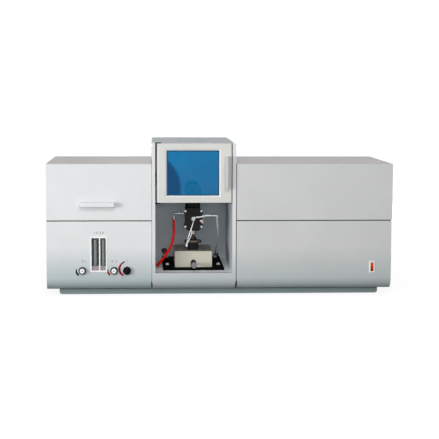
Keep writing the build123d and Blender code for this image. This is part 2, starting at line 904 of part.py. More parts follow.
def lamp_places():
    """The centre of each lamp in Y and Z, one of them on the optical axis."""
    for number in range(lamp_count):
        turn = 2 * math.pi * number / lamp_count
        yield optic_back + lamp_ring * math.sin(turn), turret_z + lamp_ring * math.cos(turn)


def make_turret_drum():
    """Two discs on a hub, bored for the lamps, on a shaft that the motor turns."""
    discs = [(disc_x, disc_x + turret_disc)]
    second = disc_x + turret_disc + turret_spacing
    discs.append((second, second + turret_disc))
    drum = rod_x((disc_x, second + turret_disc), optic_back, turret_z, turret_hub_radius)
    for span in discs:
        drum += rod_x(span, optic_back, turret_z, turret_disc_radius)
    for y, z in lamp_places():
        way = (discs[0][0] + turret_disc / 2, discs[1][1] + overrun)
        drum -= rod_x(way, y, z, lamp_base_radius + lamp_hole_gap)
    shaft = (disc_x - bracket_plate - motor_length / 2, disc_x + turret_disc)
    return drum + rod_x(shaft, optic_back, turret_z, turret_shaft_radius)


def make_cathode_lamps():
    """Hollow cathode lamps: a wide base, a glass body and a narrower window end."""
    lamps = []
    start = disc_x + turret_disc / 2 + seat_gap
    glass = disc_x + 2 * turret_disc + turret_spacing + seat_gap
    for y, z in lamp_places():
        lamp = rod_x((start, glass), y, z, lamp_base_radius)
        lamp += rod_x((glass, glass + lamp_length - lamp_base_length), y, z, lamp_radius)
        end = glass + lamp_length
        lamp += rod_x((glass, end), y, z, lamp_radius - lamp_window / 2)
        lamps.append(lamp)
    return Compound(children=lamps)


def make_turret_bracket():
    """The upright plate that carries the turret, folded to a foot on the deck."""
    span = around(optic_back, bracket_width)
    bracket = block(bracket_x, span, (deck_z, turret_z + motor_size / 2))
    bracket += block((bracket_x[0] - bracket_foot, bracket_x[1]), span, (deck_z, deck_z + bracket_plate))
    hole = turret_shaft_radius + running_gap
    return bracket - rod_x(grown(bracket_x, overrun), optic_back, turret_z, hole)


def make_turret_motor():
    """The stepping motor behind the bracket, bored for the turret's shaft."""
    span = (bracket_x[0] - motor_length, bracket_x[0])
    motor = block(span, around(optic_back, motor_size), around(turret_z, motor_size))
    motor = chamfer(motor.edges().filter_by(Axis.X), motor_size / 8)
    way = (bracket_x[0] - motor_length / 2 - seat_gap, bracket_x[0] + overrun)
    return motor - rod_x(way, optic_back, turret_z, turret_shaft_radius + running_gap)


parts["turret_drum"] = make_turret_drum()
parts["cathode_lamps"] = make_cathode_lamps()
parts["turret_bracket"] = make_turret_bracket()
parts["turret_motor"] = make_turret_motor()

# Flow meter
tube_y = meter_tube_back
meter_inner = (meter_width - 2 * meter_border, meter_height - 2 * meter_border)
divider_x = around(meter_x + meter_divider_right, meter_divider)
meter_windows = [
    (meter_x - meter_inner[0] / 2, divider_x[0]),
    (divider_x[1], meter_x + meter_inner[0] / 2),
]
tube_places = [sum(window) / 2 for window in meter_windows]
meter_view_z = (meter_z - meter_inner[1] / 2 + meter_foot, meter_z + meter_inner[1] / 2 - meter_end)
tube_z = grown(meter_view_z, meter_socket)
float_z = tube_z[0] + meter_socket + seat_gap


def make_meter_bezel():
    """The white frame round the flow meter's two windows, with a collar through the panel."""
    outer = block(
        around(meter_x, meter_width), (-meter_proud, 0), around(meter_z, meter_height)
    )
    collar = (meter_width - meter_border - seat_gap, meter_height - meter_border - seat_gap)
    outer += block(
        around(meter_x, collar[0]), (-meter_proud, sheet), around(meter_z, collar[1])
    )
    for window in meter_windows:
        outer -= block(window, (-overrun, sheet + overrun), around(meter_z, meter_inner[1]))
    return outer


def make_meter_block():
    """The block behind the bezel: a back plate, a web and two ends that hold the tubes."""
    wide = around(meter_x, meter_width + 2 * meter_border)
    tall = around(meter_z, meter_height + 2 * meter_border)
    body = block(wide, (sheet, sheet + meter_depth), tall)
    for window, x in zip(meter_windows, tube_places):
        body -= block(window, (0, tube_y + meter_tube_radius + meter_socket), meter_view_z)
        body -= rod_z(x, tube_y, tube_z, meter_tube_radius + seat_gap / 2)
    return body


def make_meter_tubes():
    """Two bored glass tubes, closed by a seat at the foot that stops the float."""
    tubes = []
    for x in tube_places:
        tube = rod_z(x, tube_y, tube_z, meter_tube_radius)
        bore = (tube_z[0] + meter_socket, tube_z[1] + overrun)
        tubes.append(tube - rod_z(x, tube_y, bore, meter_bore_radius))
    return Compound(children=tubes)


def make_float(x):
    """A float: a cone below a short drum, standing in its tube."""
    cone_height = float_height - float_radius
    cone = Cone(float_radius / 2, float_radius, cone_height)
    drum = rod_z(x, tube_y, (float_z + cone_height, float_z + float_height), float_radius)
    return Pos(x, tube_y, float_z + cone_height / 2) * cone + drum


parts["meter_bezel"] = make_meter_bezel()
parts["meter_block"] = make_meter_block()
parts["meter_tubes"] = make_meter_tubes()
parts["air_float"] = make_float(tube_places[0])
parts["fuel_float"] = make_float(tube_places[1])


# Gas controls
def make_dial_knob(x):
    """A needle valve knob: a fluted skirt, a tapered cap and the shaft behind."""
    skirt = grooved_disc(dial_radius, knob_groove_count, knob_flute / 2, dial_depth)
    taper = Pos(0, 0, dial_depth + cap_depth / 2) * Cone(cap_radius, cap_radius - knob_flute, cap_depth)
    cap = fillet(taper.edges().sort_by(Axis.Z)[-1], knob_flute)
    knob = Pos(x, -seat_gap, control_z) * Rot(90, 0, 0) * (skirt + cap)
    return knob + rod_y(x, (-seat_gap - dial_depth / 2, sheet + valve_nose), control_z, knob_shaft_radius)


def make_gas_knob(x):
    """The gas cock's knob: a plain round drum with a raised grip across its face."""
    drum = extrude(Circle(gas_knob_radius), gas_knob_depth - gas_knob_grip)
    drum = fillet(drum.edges().sort_by(Axis.Z)[-1], knob_flute)
    grip = Pos(0, 0, gas_knob_depth - gas_knob_grip) * Box(
        gas_knob_grip, 2 * gas_knob_radius - gas_knob_grip, 2 * gas_knob_grip
    )
    grip = fillet(grip.edges().group_by(Axis.Z)[-1], knob_flute)
    knob = Pos(x, -seat_gap, control_z) * Rot(90, 0, 0) * (drum + grip)
    return knob + rod_y(x, (-seat_gap - dial_depth / 2, sheet + valve_nose), control_z, knob_shaft_radius)


def make_gas_valves():
    """Three valve bodies behind the panel, each bored for its knob's shaft."""
    valves = []
    for x in knob_places.values():
        body_y = (sheet + valve_nose, sheet + valve_nose + valve_depth)
        body = block(around(x, valve_width), body_y, around(control_z, valve_height))
        body += rod_y(x, (sheet, body_y[0]), control_z, valve_nose_radius)
        ports = grown(around(control_z, valve_height), valve_port)
        body += rod_z(x, sum(body_y) / 2, ports, valve_port_radius)
        way = (sheet - overrun, sheet + valve_nose + seat_gap)
        valves.append(body - rod_y(x, way, control_z, knob_shaft_radius + running_gap))
    return Compound(children=valves)


def make_gas_stubs():
    """The air and fuel inlets at the back: stubs with a flange inside and a nut outside."""
    stubs = []
    for x in stub_x:
        span = (panel_y - stub_flange_depth, cabinet_depth + stub_length)
        stub = rod_y(x, span, stub_z, stub_radius)
        flange = (panel_y - stub_flange_depth, panel_y)
        stub += block(around(x, stub_flange), flange, around(stub_z, stub_flange))
        stub += rod_y(x, (panel_y, cabinet_depth), stub_z, stub_barrel_radius)
        face = Pos(x, cabinet_depth + stub_nut_height, stub_z) * Rot(90, 0, 0)
        stub += face * hexagon(stub_nut, stub_nut_height)
        stubs.append(chamfer(stub.edges().filter_by(GeomType.CIRCLE).sort_by(Axis.Y)[-1], knob_flute / 2))
    return Compound(children=stubs)


parts["air_knob"] = make_dial_knob(knob_places["air_knob"])
parts["fuel_knob"] = make_dial_knob(knob_places["fuel_knob"])
parts["on_off_knob"] = make_gas_knob(knob_places["on_off_knob"])
parts["gas_valves"] = make_gas_valves()
parts["gas_inlet_stubs"] = make_gas_stubs()

# Power switch and inlet
rocker_y = rocker_depth / 2


def make_rocker_bezel():
    """The switch's frame and its box behind the panel, with two bearings for the rocker."""
    frame = block(
        around(bezel_x, bezel_width), (-bezel_proud, 0), around(bezel_z, bezel_height)
    )
    frame = chamfer(frame.faces().sort_by(Axis.Y)[0].edges(), bezel_proud / 3)
    inner = (bezel_width - bezel_border - seat_gap, bezel_height - bezel_border - seat_gap)
    body = block(around(bezel_x, inner[0]), (-bezel_proud / 3, bezel_depth), around(bezel_z, inner[1]))
    hole = grown(around(bezel_x, rocker_size[0]), seat_gap), grown(around(bezel_z, rocker_size[1]), seat_gap)
    well = block(hole[0], (-overrun, bezel_depth - sheet), hole[1])
    way = around(bezel_x, rocker_size[0] + bezel_border)
    return frame + body - well - rod_x(way, rocker_y, bezel_z, rocker_pin_radius + running_gap)


def make_rocker():
    """The rocker: two flat faces that meet over its pin, here with the lower one pressed in."""
    half, depth = rocker_size[1] / 2, rocker_depth
    rise = half * math.tan(math.radians(rocker_tilt))
    turn = math.radians(2 * rocker_tilt)
    # The top corner swings up to half the height when it's pressed in
    corner = (half - (rocker_y + bezel_proud) * math.sin(turn)) / math.cos(turn)
    outline = Polyline(
        (-bezel_proud, 0), (-bezel_proud, corner),
        (rocker_y, half - rise), (depth, half / 3), (depth, -half / 3),
        (rocker_y + rise, rise - half), (-bezel_proud + math.sin(turn) * half, rise / 2 - half),
        close=True,
    )
    body = extrude_x(make_face(outline), around(0, rocker_size[0]))
    pin = rod_x(around(0, rocker_size[0] + bezel_border - 2 * seat_gap), rocker_y, 0, rocker_pin_radius)
    return Pos(bezel_x, 0, bezel_z) * (body + pin)


def make_mains_inlet():
    """The mains inlet: a flange outside the panel, a body inside and three blades in its well."""
    inlet = block(
        around(inlet_x, inlet_width), (cabinet_depth, cabinet_depth + sheet), around(inlet_z, inlet_height)
    )
    inner = (inlet_width - inlet_flange - seat_gap, inlet_height - inlet_flange - seat_gap)
    body_y = (cabinet_depth - inlet_depth, cabinet_depth + sheet)
    inlet += block(around(inlet_x, inner[0]), body_y, around(inlet_z, inner[1]))
    floor = cabinet_depth + sheet - inlet_cavity_depth
    well_y = (floor, cabinet_depth + sheet + overrun)
    inlet -= block(
        around(inlet_x, inlet_cavity_width), well_y, around(inlet_z, inlet_cavity_height)
    )
    for step in (-1, 0, 1):
        x = inlet_x + step * inlet_blade_pitch
        blade_y = (floor, cabinet_depth + sheet - inlet_blade_height)
        z = inlet_z + (inlet_blade_height / 2 if step == 0 else 0) + inlet_blade_height / 4
        inlet += block(around(x, inlet_blade_width), blade_y, around(z, inlet_blade_height))
    return inlet


def make_power_supply():
    """The supply's case on the cabinet's floor."""
    x = (right_end - supply_right - supply_width, right_end - supply_right)
    y = (supply_front, supply_front + supply_depth)
    case = block(x, y, (floor_z + sheet, floor_z + sheet + supply_height))
    return chamfer(case.edges().filter_by(Axis.Y).group_by(Axis.Z)[-1], sheet)


parts["rocker_bezel"] = make_rocker_bezel()
parts["power_rocker"] = make_rocker()
parts["mains_inlet"] = make_mains_inlet()
parts["power_supply"] = make_power_supply()

# Monochromator
casting_x = (right_start + casting_left, right_start + casting_left + casting_width)
casting_y = (casting_front, casting_front + casting_depth)
casting_z = around(optic_height - casting_drop, casting_height)
grating_x = casting_x[1] - grating_right
grating_y = sum(casting_y) / 2
casting_inside = (
    grown(casting_x, -casting_wall), grown(casting_y, -casting_wall), grown(casting_z, -casting_wall)
)


def make_monochromator():
    """The monochromator's casting on four legs, bored for its slits and the grating's shaft."""
    casting = block(casting_x, casting_y, casting_z)
    casting = fillet(casting.edges().filter_by(Axis.Z), casting_wall)
    casting -= block(*casting_inside)
    for x in (casting_x[0], casting_x[1] - casting_leg):
        for y in (casting_y[0], casting_y[1] - casting_leg):
            casting += block((x, x + casting_leg), (y, y + casting_leg), (deck_z, casting_z[0] + casting_wall))
    slit = grown((casting_x[0], casting_x[0]), casting_wall + overrun)
    casting -= rod_x(slit, optic_back, optic_height, lens_tube_radius / 2)
    exit_y = casting_y[1] - casting_leg * 2
    casting -= rod_x(slit, exit_y, optic_height, lens_tube_radius / 2)
    for z in casting_z:
        casting -= rod_z(grating_x, grating_y, grown((z, z), casting_wall), grating_shaft_radius + running_gap)
    return casting


def make_grating():
    """The grating in its holder, on a shaft between the casting's floor and lid."""
    z = sum(casting_z) / 2
    holder = block(around(0, grating_thickness), around(0, grating_width), around(0, grating_height))
    holder += rod_z(0, 0, around(0, casting_height - casting_wall), grating_shaft_radius)
    return Pos(grating_x, grating_y, z) * holder


def make_tube_housing():
    """The photomultiplier's round housing against the casting's exit slit."""
    exit_y = casting_y[1] - casting_leg * 2
    span = (casting_x[0] - tube_housing_length, casting_x[0])
    can = rod_x(span, exit_y, optic_height, tube_housing_radius)
    can = fillet(can.edges().sort_by(Axis.X)[0], sheet)
    way = (span[0] + casting_wall, span[1] + overrun)
    return can - rod_x(way, exit_y, optic_height, tube_housing_radius - casting_wall / 2)


parts["monochromator_casting"] = make_monochromator()
parts["grating_holder"] = make_grating()
parts["photomultiplier_housing"] = make_tube_housing()

# Atomiser base
box_x = around(atomiser_x, box_width)
box_y = (box_front, box_front + box_depth)
slide_y = around(column_back, block_length)


def make_base_plate():
    """The black plate on the chamber's floor."""
    y = (plate_front, chamber_depth - plate_back)
    plate = block(around(atomiser_x, plate_width), y, (lip_z, plate_top))
    return chamfer(plate.faces().sort_by(Axis.Z)[-1].edges(), plate_thickness / 8)


def make_atomiser_box():
    """The beige box over the slide, slotted at the front for the screw and above for the column."""
    case = block(box_x, box_y, (plate_top, box_top))
    case = fillet(case.edges().filter_by(Axis.Z), box_round)
    case = fillet(case.faces().sort_by(Axis.Z)[-1].edges(), box_round / 2)
    case -= block(grown(box_x, -sheet), grown(box_y, -sheet), (plate_top - overrun, box_top - sheet))
    arch = plate_top + box_slot_top - box_slot_width / 2
    through = (box_front - overrun, box_front + sheet + overrun)
    case -= block(around(atomiser_x, box_slot_width), through, (plate_top - overrun, arch))
    case -= rod_y(atomiser_x, through, arch, box_slot_width / 2)
    slot = Rot(0, 0, 90) * SlotOverall(top_slot_length, top_slot_width)
    top = Pos(atomiser_x, column_back, box_top - sheet - overrun) * extrude(slot, sheet + 2 * overrun)
    return case - top


def make_slide_base():
    """The slide's base in the box: a strip, two rails and a bearing at each end of the screw."""
    y = grown(box_y, -sheet - seat_gap)
    strip_top = plate_top + slide_plate
    width = rail_spacing + rail_width
    base = block(around(atomiser_x, width), y, (plate_top, strip_top))
    for side in (-1, 1):
        x = around(atomiser_x + side * rail_spacing / 2, rail_width)
        base += block(x, y, (strip_top, strip_top + rail_height))
    for start in (y[0], slide_y[1] + block_length / 4):
        lug = (start, start + bearing_thickness)
        base += block(around(atomiser_x, bearing_width), lug, (strip_top, plate_top + bearing_height))
    return base - rod_y(atomiser_x, grown(y, overrun), screw_z, screw_radius + running_gap)


def make_slide_block():
    """The carriage that the screw moves along the rails, bored for the column and its post."""
    low = plate_top + slide_plate + rail_height + running_gap
    width = rail_spacing + rail_width
    spigot_foot = box_top - sheet - bearing_thickness
    carriage = block(around(atomiser_x, width), slide_y, (low, spigot_foot + bearing_thickness / 2))
    keel = rail_spacing - rail_width - 2 * running_gap
    carriage += block(around(atomiser_x, keel), slide_y, (plate_top + slide_plate + seat_gap, low))
    carriage -= rod_y(atomiser_x, grown(slide_y, overrun), screw_z, screw_radius + running_gap)
    well = (column_top - post_depth - lift_down - seat_gap, box_top)
    carriage -= rod_z(atomiser_x, column_back, well, post_radius + loose_gap)
    return carriage - rod_z(atomiser_x, column_back, (spigot_foot, box_top), column_spigot + running_gap)


def make_front_knob():
    """The silver knob on the long screw that moves the burner to and fro."""
    face = box_front - screw_reach
    knob = grooved_disc(front_knob_radius, knob_groove_count, groove_depth / 2, front_knob_depth)
    knob = Pos(atomiser_x, face + front_knob_depth, screw_z) * Rot(90, 0, 0) * knob
    return knob + rod_y(atomiser_x, (face + groove_depth, box_front + screw_tail), screw_z, screw_radius)


def make_lift_column():
    """The black column: a grooved collar over the box's slot, on a spigot in the carriage."""
    foot = box_top + seat_gap
    column = grooved_disc(column_radius, column_groove_count, groove_depth, column_height)
    column = Pos(atomiser_x, column_back, foot) * column
    spigot_foot = box_top - sheet - bearing_thickness
    column += rod_z(atomiser_x, column_back, (spigot_foot, foot + seat_gap), column_spigot)
    way = (plate_top, column_top + overrun)
    return column - rod_z(atomiser_x, column_back, way, post_radius + running_gap)


def make_height_wheel():
    """The grooved wheel on the column, with a tall hub, which raises the post inside it."""
    wheel = grooved_disc(wheel_radius, wheel_groove_count, groove_depth, wheel_height)
    dish = Pos(0, 0, wheel_height) * Cylinder(wheel_radius - 4 * wheel_recess, 2 * wheel_recess)
    hub_height = wheel_height + wheel_hub_rise
    wheel = wheel - dish + Pos(0, 0, hub_height / 2) * Cylinder(wheel_hub_radius, hub_height)
    wheel -= Cylinder(post_radius + running_gap, 4 * hub_height)
    return Pos(atomiser_x, column_back, column_top) * wheel


parts["base_plate"] = make_base_plate()
parts["atomiser_box"] = make_atomiser_box()
parts["slide_base"] = make_slide_base()
parts["slide_block"] = make_slide_block()
parts["fore_aft_knob"] = make_front_knob()
parts["lift_column"] = make_lift_column()
parts["height_wheel"] = make_height_wheel()

# Spray chamber and what is on it
body_y = (flange_back, flange_back + body_depth)
body_x = around(atomiser_x, body_width)
body_z = (body_low, body_top)
riser_y = around(burner_back, riser_depth)
gland_z = flange_z + gland_rise
elbow_z = flange_z + elbow_height
elbow_y = flange_back + elbow_back / 2 + screw_head_depth
screw_places = [
    (atomiser_x + side * screw_pitch_x / 2, flange_z + up * screw_pitch_z / 2)
    for side in (-1, 1)
    for up in (-1, 1)
]


def make_lift_post():
    """The bronze post from inside the column up to its nut under the spray chamber."""
    foot = column_top - post_depth
    nut_z = body_z[0] - neck_nut_height
    post = rod_z(atomiser_x, column_back, (foot, nut_z), post_radius)
    nut = Pos(atomiser_x, column_back, nut_z) * hexagon(neck_nut, neck_nut_height)
    return post + nut


def make_spray_chamber():
    """The black spray chamber: a chamfered body, a front flange and a riser for the burner."""
    body = block(body_x, body_y, body_z)
    body = chamfer(body.edges().filter_by(Axis.Y), body_chamfer)
    flange = block(
        around(atomiser_x, flange_width_x), (flange_front, flange_back), around(flange_z, flange_height)
    )
    flange = chamfer(flange.edges().filter_by(Axis.Y), flange_chamfer)
    waist = (flange_width_x - body_width) / 4
    for side in (-1, 1):
        x = atomiser_x + side * flange_width_x / 2
        flange -= block(around(x, 2 * waist), grown((flange_front, flange_back), overrun),
                        around(flange_z, screw_pitch_z - 3 * waist * 2))
    riser = block(around(atomiser_x, riser_width), riser_y, (body_z[0] + body_height / 2, riser_top))
    riser = chamfer(riser.edges().filter_by(Axis.Z), body_chamfer)
    chamber = body + flange + riser
    socket = (riser_top - burner_spigot - seat_gap, riser_top + overrun)
    chamber -= rod_z(atomiser_x, burner_back, socket, burner_spigot_radius + running_gap)
    for x, z in screw_places:
        hole = (flange_front - overrun, flange_front + screw_shank + seat_gap - screw_head_depth)
        chamber -= rod_y(x, hole, z, screw_shank_radius + running_gap)
    return chamber


def make_flange_screws():
    """The flange's four cap screws, with hexagon sockets."""
    screws = []
    for x, z in screw_places:
        head = rod_y(x, (flange_front - screw_head_depth, flange_front), z, screw_head_radius)
        shank = (flange_front - socket_depth, flange_front + screw_shank - screw_head_depth)
        screw = head + rod_y(x, shank, z, screw_shank_radius)
        cup = Pos(x, flange_front - screw_head_depth + socket_depth, z) * Rot(90, 0, 0)
        screws.append(screw - cup * hexagon(2 * socket_radius, socket_depth + overrun))
    return Compound(children=screws)


def make_nebuliser():
    """The nebuliser's gland: a stepped silver disc with the capillary's nut in front."""
    front = flange_front - gland_depth
    gland = rod_y(atomiser_x, (front, flange_front), gland_z, gland_radius)
    gland = chamfer(gland.edges().sort_by(Axis.Y)[0], gland_radius / 5)
    nut_face = capillary_route[0][1]
    nut = Pos(atomiser_x, front, gland_z) * Rot(90, 0, 0) * hexagon(2 * gland_nut_radius, front - nut_face)
    root = atomiser_x + gland_nut_radius / 2
    port_y, port_z = feed_route[0][1:]
    arm = rod_x((root, feed_route[0][0]), port_y, port_z, feed_radius)
    web = block((root, feed_route[0][0] - 2 * feed_radius), around(port_y, 2 * feed_radius), (gland_z, port_z))
    return gland + nut + arm + web


def make_hose_fittings():
    """The fuel elbow on the left, the air elbow at the feed's end and the port on the right."""
    hose_x, hose_y, hose_z = red_route[0]
    wall = body_x[0]
    fuel = rod_x((hose_x, wall), hose_y, elbow_z, elbow_radius)
    nut = Pos(wall, hose_y, elbow_z) * Rot(0, -90, 0)
    fuel += nut * hexagon(elbow_nut, elbow_nut_length)
    fuel += Pos(hose_x, hose_y, elbow_z) * Sphere(elbow_radius * 1.45)
    fuel += rod_z(hose_x, hose_y, (hose_z, elbow_z), elbow_radius)
    fuel += Pos(hose_x, hose_y, hose_z) * Cylinder(
        red_radius * 1.2, elbow_radius * 2, align=(Align.CENTER, Align.CENTER, Align.MIN)
    )
    drop_x, drop_y, drop_z = clear_route[0]
    start = feed_route[-1]
    air = rod_x((start[0], drop_x), start[1], start[2], elbow_radius)
    air += Pos(start[0] + elbow_radius, start[1], start[2]) * Rot(0, 90, 0) * hexagon(
        elbow_radius * 2.4, elbow_radius * 2
    )
    air += Pos(drop_x, drop_y, start[2]) * Sphere(elbow_radius * 1.25)
    air += rod_z(drop_x, drop_y, (drop_z, start[2]), elbow_radius)
    port_z = flange_z - port_drop
    port_y = flange_back + port_length
    port = rod_x((body_x[1], body_x[1] + port_length), port_y, port_z, port_radius)
    port += Pos(body_x[1], port_y, port_z) * Rot(0, 90, 0) * hexagon(2.3 * port_radius, port_length / 2)
    return Compound(children=[fuel, air, port])


def make_burner_head():
    """The burner: a shouldered titanium head with one long slot, on a round neck and spigot."""
    low, high = burner_z, burner_z + burner_height
    shoulder = burner_shoulder / burner_height
    half, top = burner_width / 2, burner_top_width / 2
    waist = low + burner_height * shoulder
    profile = make_face(Polyline(
        (-half, low), (half, low), (half, waist), (top, high), (-top, high), (-half, waist), close=True
    ))
    face = Plane(origin=(atomiser_x, burner_back, 0), x_dir=(1, 0, 0), z_dir=(0, -1, 0))
    head = extrude(face * profile, burner_length / 2, both=True)
    head = chamfer(head.edges().filter_by(Axis.X).group_by(Axis.Z)[-1], knob_flute)
    slot_y = around(burner_back, burner_slot_length)
    head -= block(around(atomiser_x, burner_slot_width), slot_y, (high - burner_slot_depth, high + overrun))
    neck = rod_z(atomiser_x, burner_back, (riser_top + seat_gap, low), burner_neck_radius)
    spigot = (riser_top - burner_spigot, riser_top + seat_gap)
    return head + neck + rod_z(atomiser_x, burner_back, spigot, burner_spigot_radius)


def make_capillary():
    """The sample capillary and the white tip at its end."""
    tube = hose("capillary", capillary_route, capillary_radius)
    end, before = Vector(*capillary_route[-1]), Vector(*capillary_route[-2])
    way = (end - before).normalized()
    tip = Plane(origin=end, z_dir=way) * extrude(Circle(capillary_tip_radius), capillary_tip)
    return tube + tip


parts["lift_post"] = make_lift_post()
parts["spray_chamber"] = make_spray_chamber()
parts["flange_screws"] = make_flange_screws()
parts["nebuliser"] = make_nebuliser()
parts["hose_fittings"] = make_hose_fittings()
parts["burner_head"] = make_burner_head()
parts["nebuliser_air_tube"] = hose("air tube", feed_route, feed_radius)
parts["red_hose"] = hose("red hose", red_route, red_radius)
parts["clear_tube"] = hose("clear tube", clear_route, clear_radius)
parts["capillary"] = make_capillary()

# Centre the whole object on the origin along Y, then write one file for each piece
front_reach = -lid_handle_reach
rear_reach = cabinet_depth + stub_length
shift = Pos(0, -(front_reach + rear_reach) / 2, 0)
os.makedirs("parts", exist_ok=True)
for name, piece in parts.items():
    export_step(shift * piece, f"parts/{name}.step")
print(len(parts), "pieces, moved by", -(front_reach + rear_reach) / 2)
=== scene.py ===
import math

import bmesh
import bpy
import numpy as np
from mathutils import Matrix, Vector


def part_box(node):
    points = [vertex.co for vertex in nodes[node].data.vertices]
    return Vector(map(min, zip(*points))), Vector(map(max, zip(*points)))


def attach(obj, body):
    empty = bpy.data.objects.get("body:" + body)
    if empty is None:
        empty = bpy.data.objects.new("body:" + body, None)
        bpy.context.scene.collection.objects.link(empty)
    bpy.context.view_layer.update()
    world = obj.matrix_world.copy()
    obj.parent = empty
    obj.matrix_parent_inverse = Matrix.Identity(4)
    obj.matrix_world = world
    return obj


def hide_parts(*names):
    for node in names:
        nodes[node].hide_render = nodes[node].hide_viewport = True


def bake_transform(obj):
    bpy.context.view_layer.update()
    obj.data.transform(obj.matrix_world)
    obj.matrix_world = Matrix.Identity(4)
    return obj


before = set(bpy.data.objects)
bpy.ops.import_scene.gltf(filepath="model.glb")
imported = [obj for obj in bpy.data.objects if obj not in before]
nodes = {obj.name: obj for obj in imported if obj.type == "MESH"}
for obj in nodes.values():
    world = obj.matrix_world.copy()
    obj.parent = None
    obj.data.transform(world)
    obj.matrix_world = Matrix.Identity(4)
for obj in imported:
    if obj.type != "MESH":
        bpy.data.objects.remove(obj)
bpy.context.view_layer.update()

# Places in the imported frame, in metres
MM = 0.001
X, Y, Z = range(3)
front_y = -0.206  # fronts of the side cabinets
back_y = 0.214
plinth_top_z = 0.020
liner_floor_z = 0.072
plate_top_z = 0.0774
control_z = 0.080  # axes of the gas knobs
seam_z = 0.231  # between the lower cabinets and the parts that stand on them
side_top_z = 0.403
left_inner_x, right_inner_x = -0.208, 0.0495  # the cabinets' sides that face the tower
tower_left_x, tower_right_x = -0.207, 0.0475
atomiser_x = -0.0784
lamp_label_x = -0.434
knob_x = {"air_knob": -0.4172, "fuel_knob": -0.3217, "on_off_knob": -0.2827}


# Materials
def srgb(red, green, blue):
    """A colour written as it looks on a screen, from 0 to 255, as Blender's linear colour."""
    parts = np.array([red, green, blue]) / 255
    linear = np.where(parts <= 0.04045, parts / 12.92, ((parts + 0.055) / 1.055) ** 2.4)
    return (*linear.tolist(), 1.0)


def shaded(colour, by):
    """A colour made lighter or darker by one factor, or by one for each of its three parts."""
    return (*np.minimum(1.0, np.array(colour[:3]) * by).tolist(), 1.0)


class Tree:
    """A tree of shader nodes, with short ways to add and join them."""

    def __init__(self, owner):
        owner.use_nodes = True
        self.tree = owner.node_tree

    def join(self, value, socket):
        """Links a socket to another one, or gives it a plain value."""
        if isinstance(value, bpy.types.NodeSocket):
            self.tree.links.new(value, socket)
        else:
            socket.default_value = value

    def node(self, kind, values=None, **settings):
        """A new node with its settings. Values go to its inputs, by name or number."""
        made = self.tree.nodes.new(kind)
        for key, value in settings.items():
            setattr(made, key, value)
        for key, value in (values or {}).items():
            self.join(value, made.inputs[key])
        return made

    def maths(self, operation, first, second=0.0):
        """One sum on two values."""
        return self.node("ShaderNodeMath", {0: first, 1: second}, operation=operation).outputs[0]

    def above(self, value, limit):
        """1 where a value is greater than a limit."""
        return self.maths("GREATER_THAN", value, limit)

    def below(self, value, limit):
        """1 where a value is less than a limit."""
        return self.maths("LESS_THAN", value, limit)

    def both(self, first, *others):
        """The product of shares, which is 1 only where each of them is 1."""
        for other in others:
            first = self.maths("MULTIPLY", first, other)
        return first

    def off(self, value, middle):
        """How far a value lies from a middle, to either side."""
        return self.maths("ABSOLUTE", self.maths("SUBTRACT", value, middle))

    def near(self, value, middle, reach):
        """1 where a value lies within reach of a middle."""
        return self.below(self.off(value, middle), reach)

    def vector(self, operation, first, second=(0.0, 0.0, 0.0)):
        """The number that a sum on two vectors gives."""
        made = self.node("ShaderNodeVectorMath", {0: first, 1: second}, operation=operation)
        return made.outputs["Value"]

    def seen_rays(self):
        """1 for rays that the camera, a reflection or a clear piece sends to the backdrop."""
        rays = self.node("ShaderNodeLightPath").outputs
        seen = self.maths("MAXIMUM", rays["Is Camera Ray"], rays["Is Glossy Ray"])
        return self.maths("MAXIMUM", seen, rays["Is Transmission Ray"])


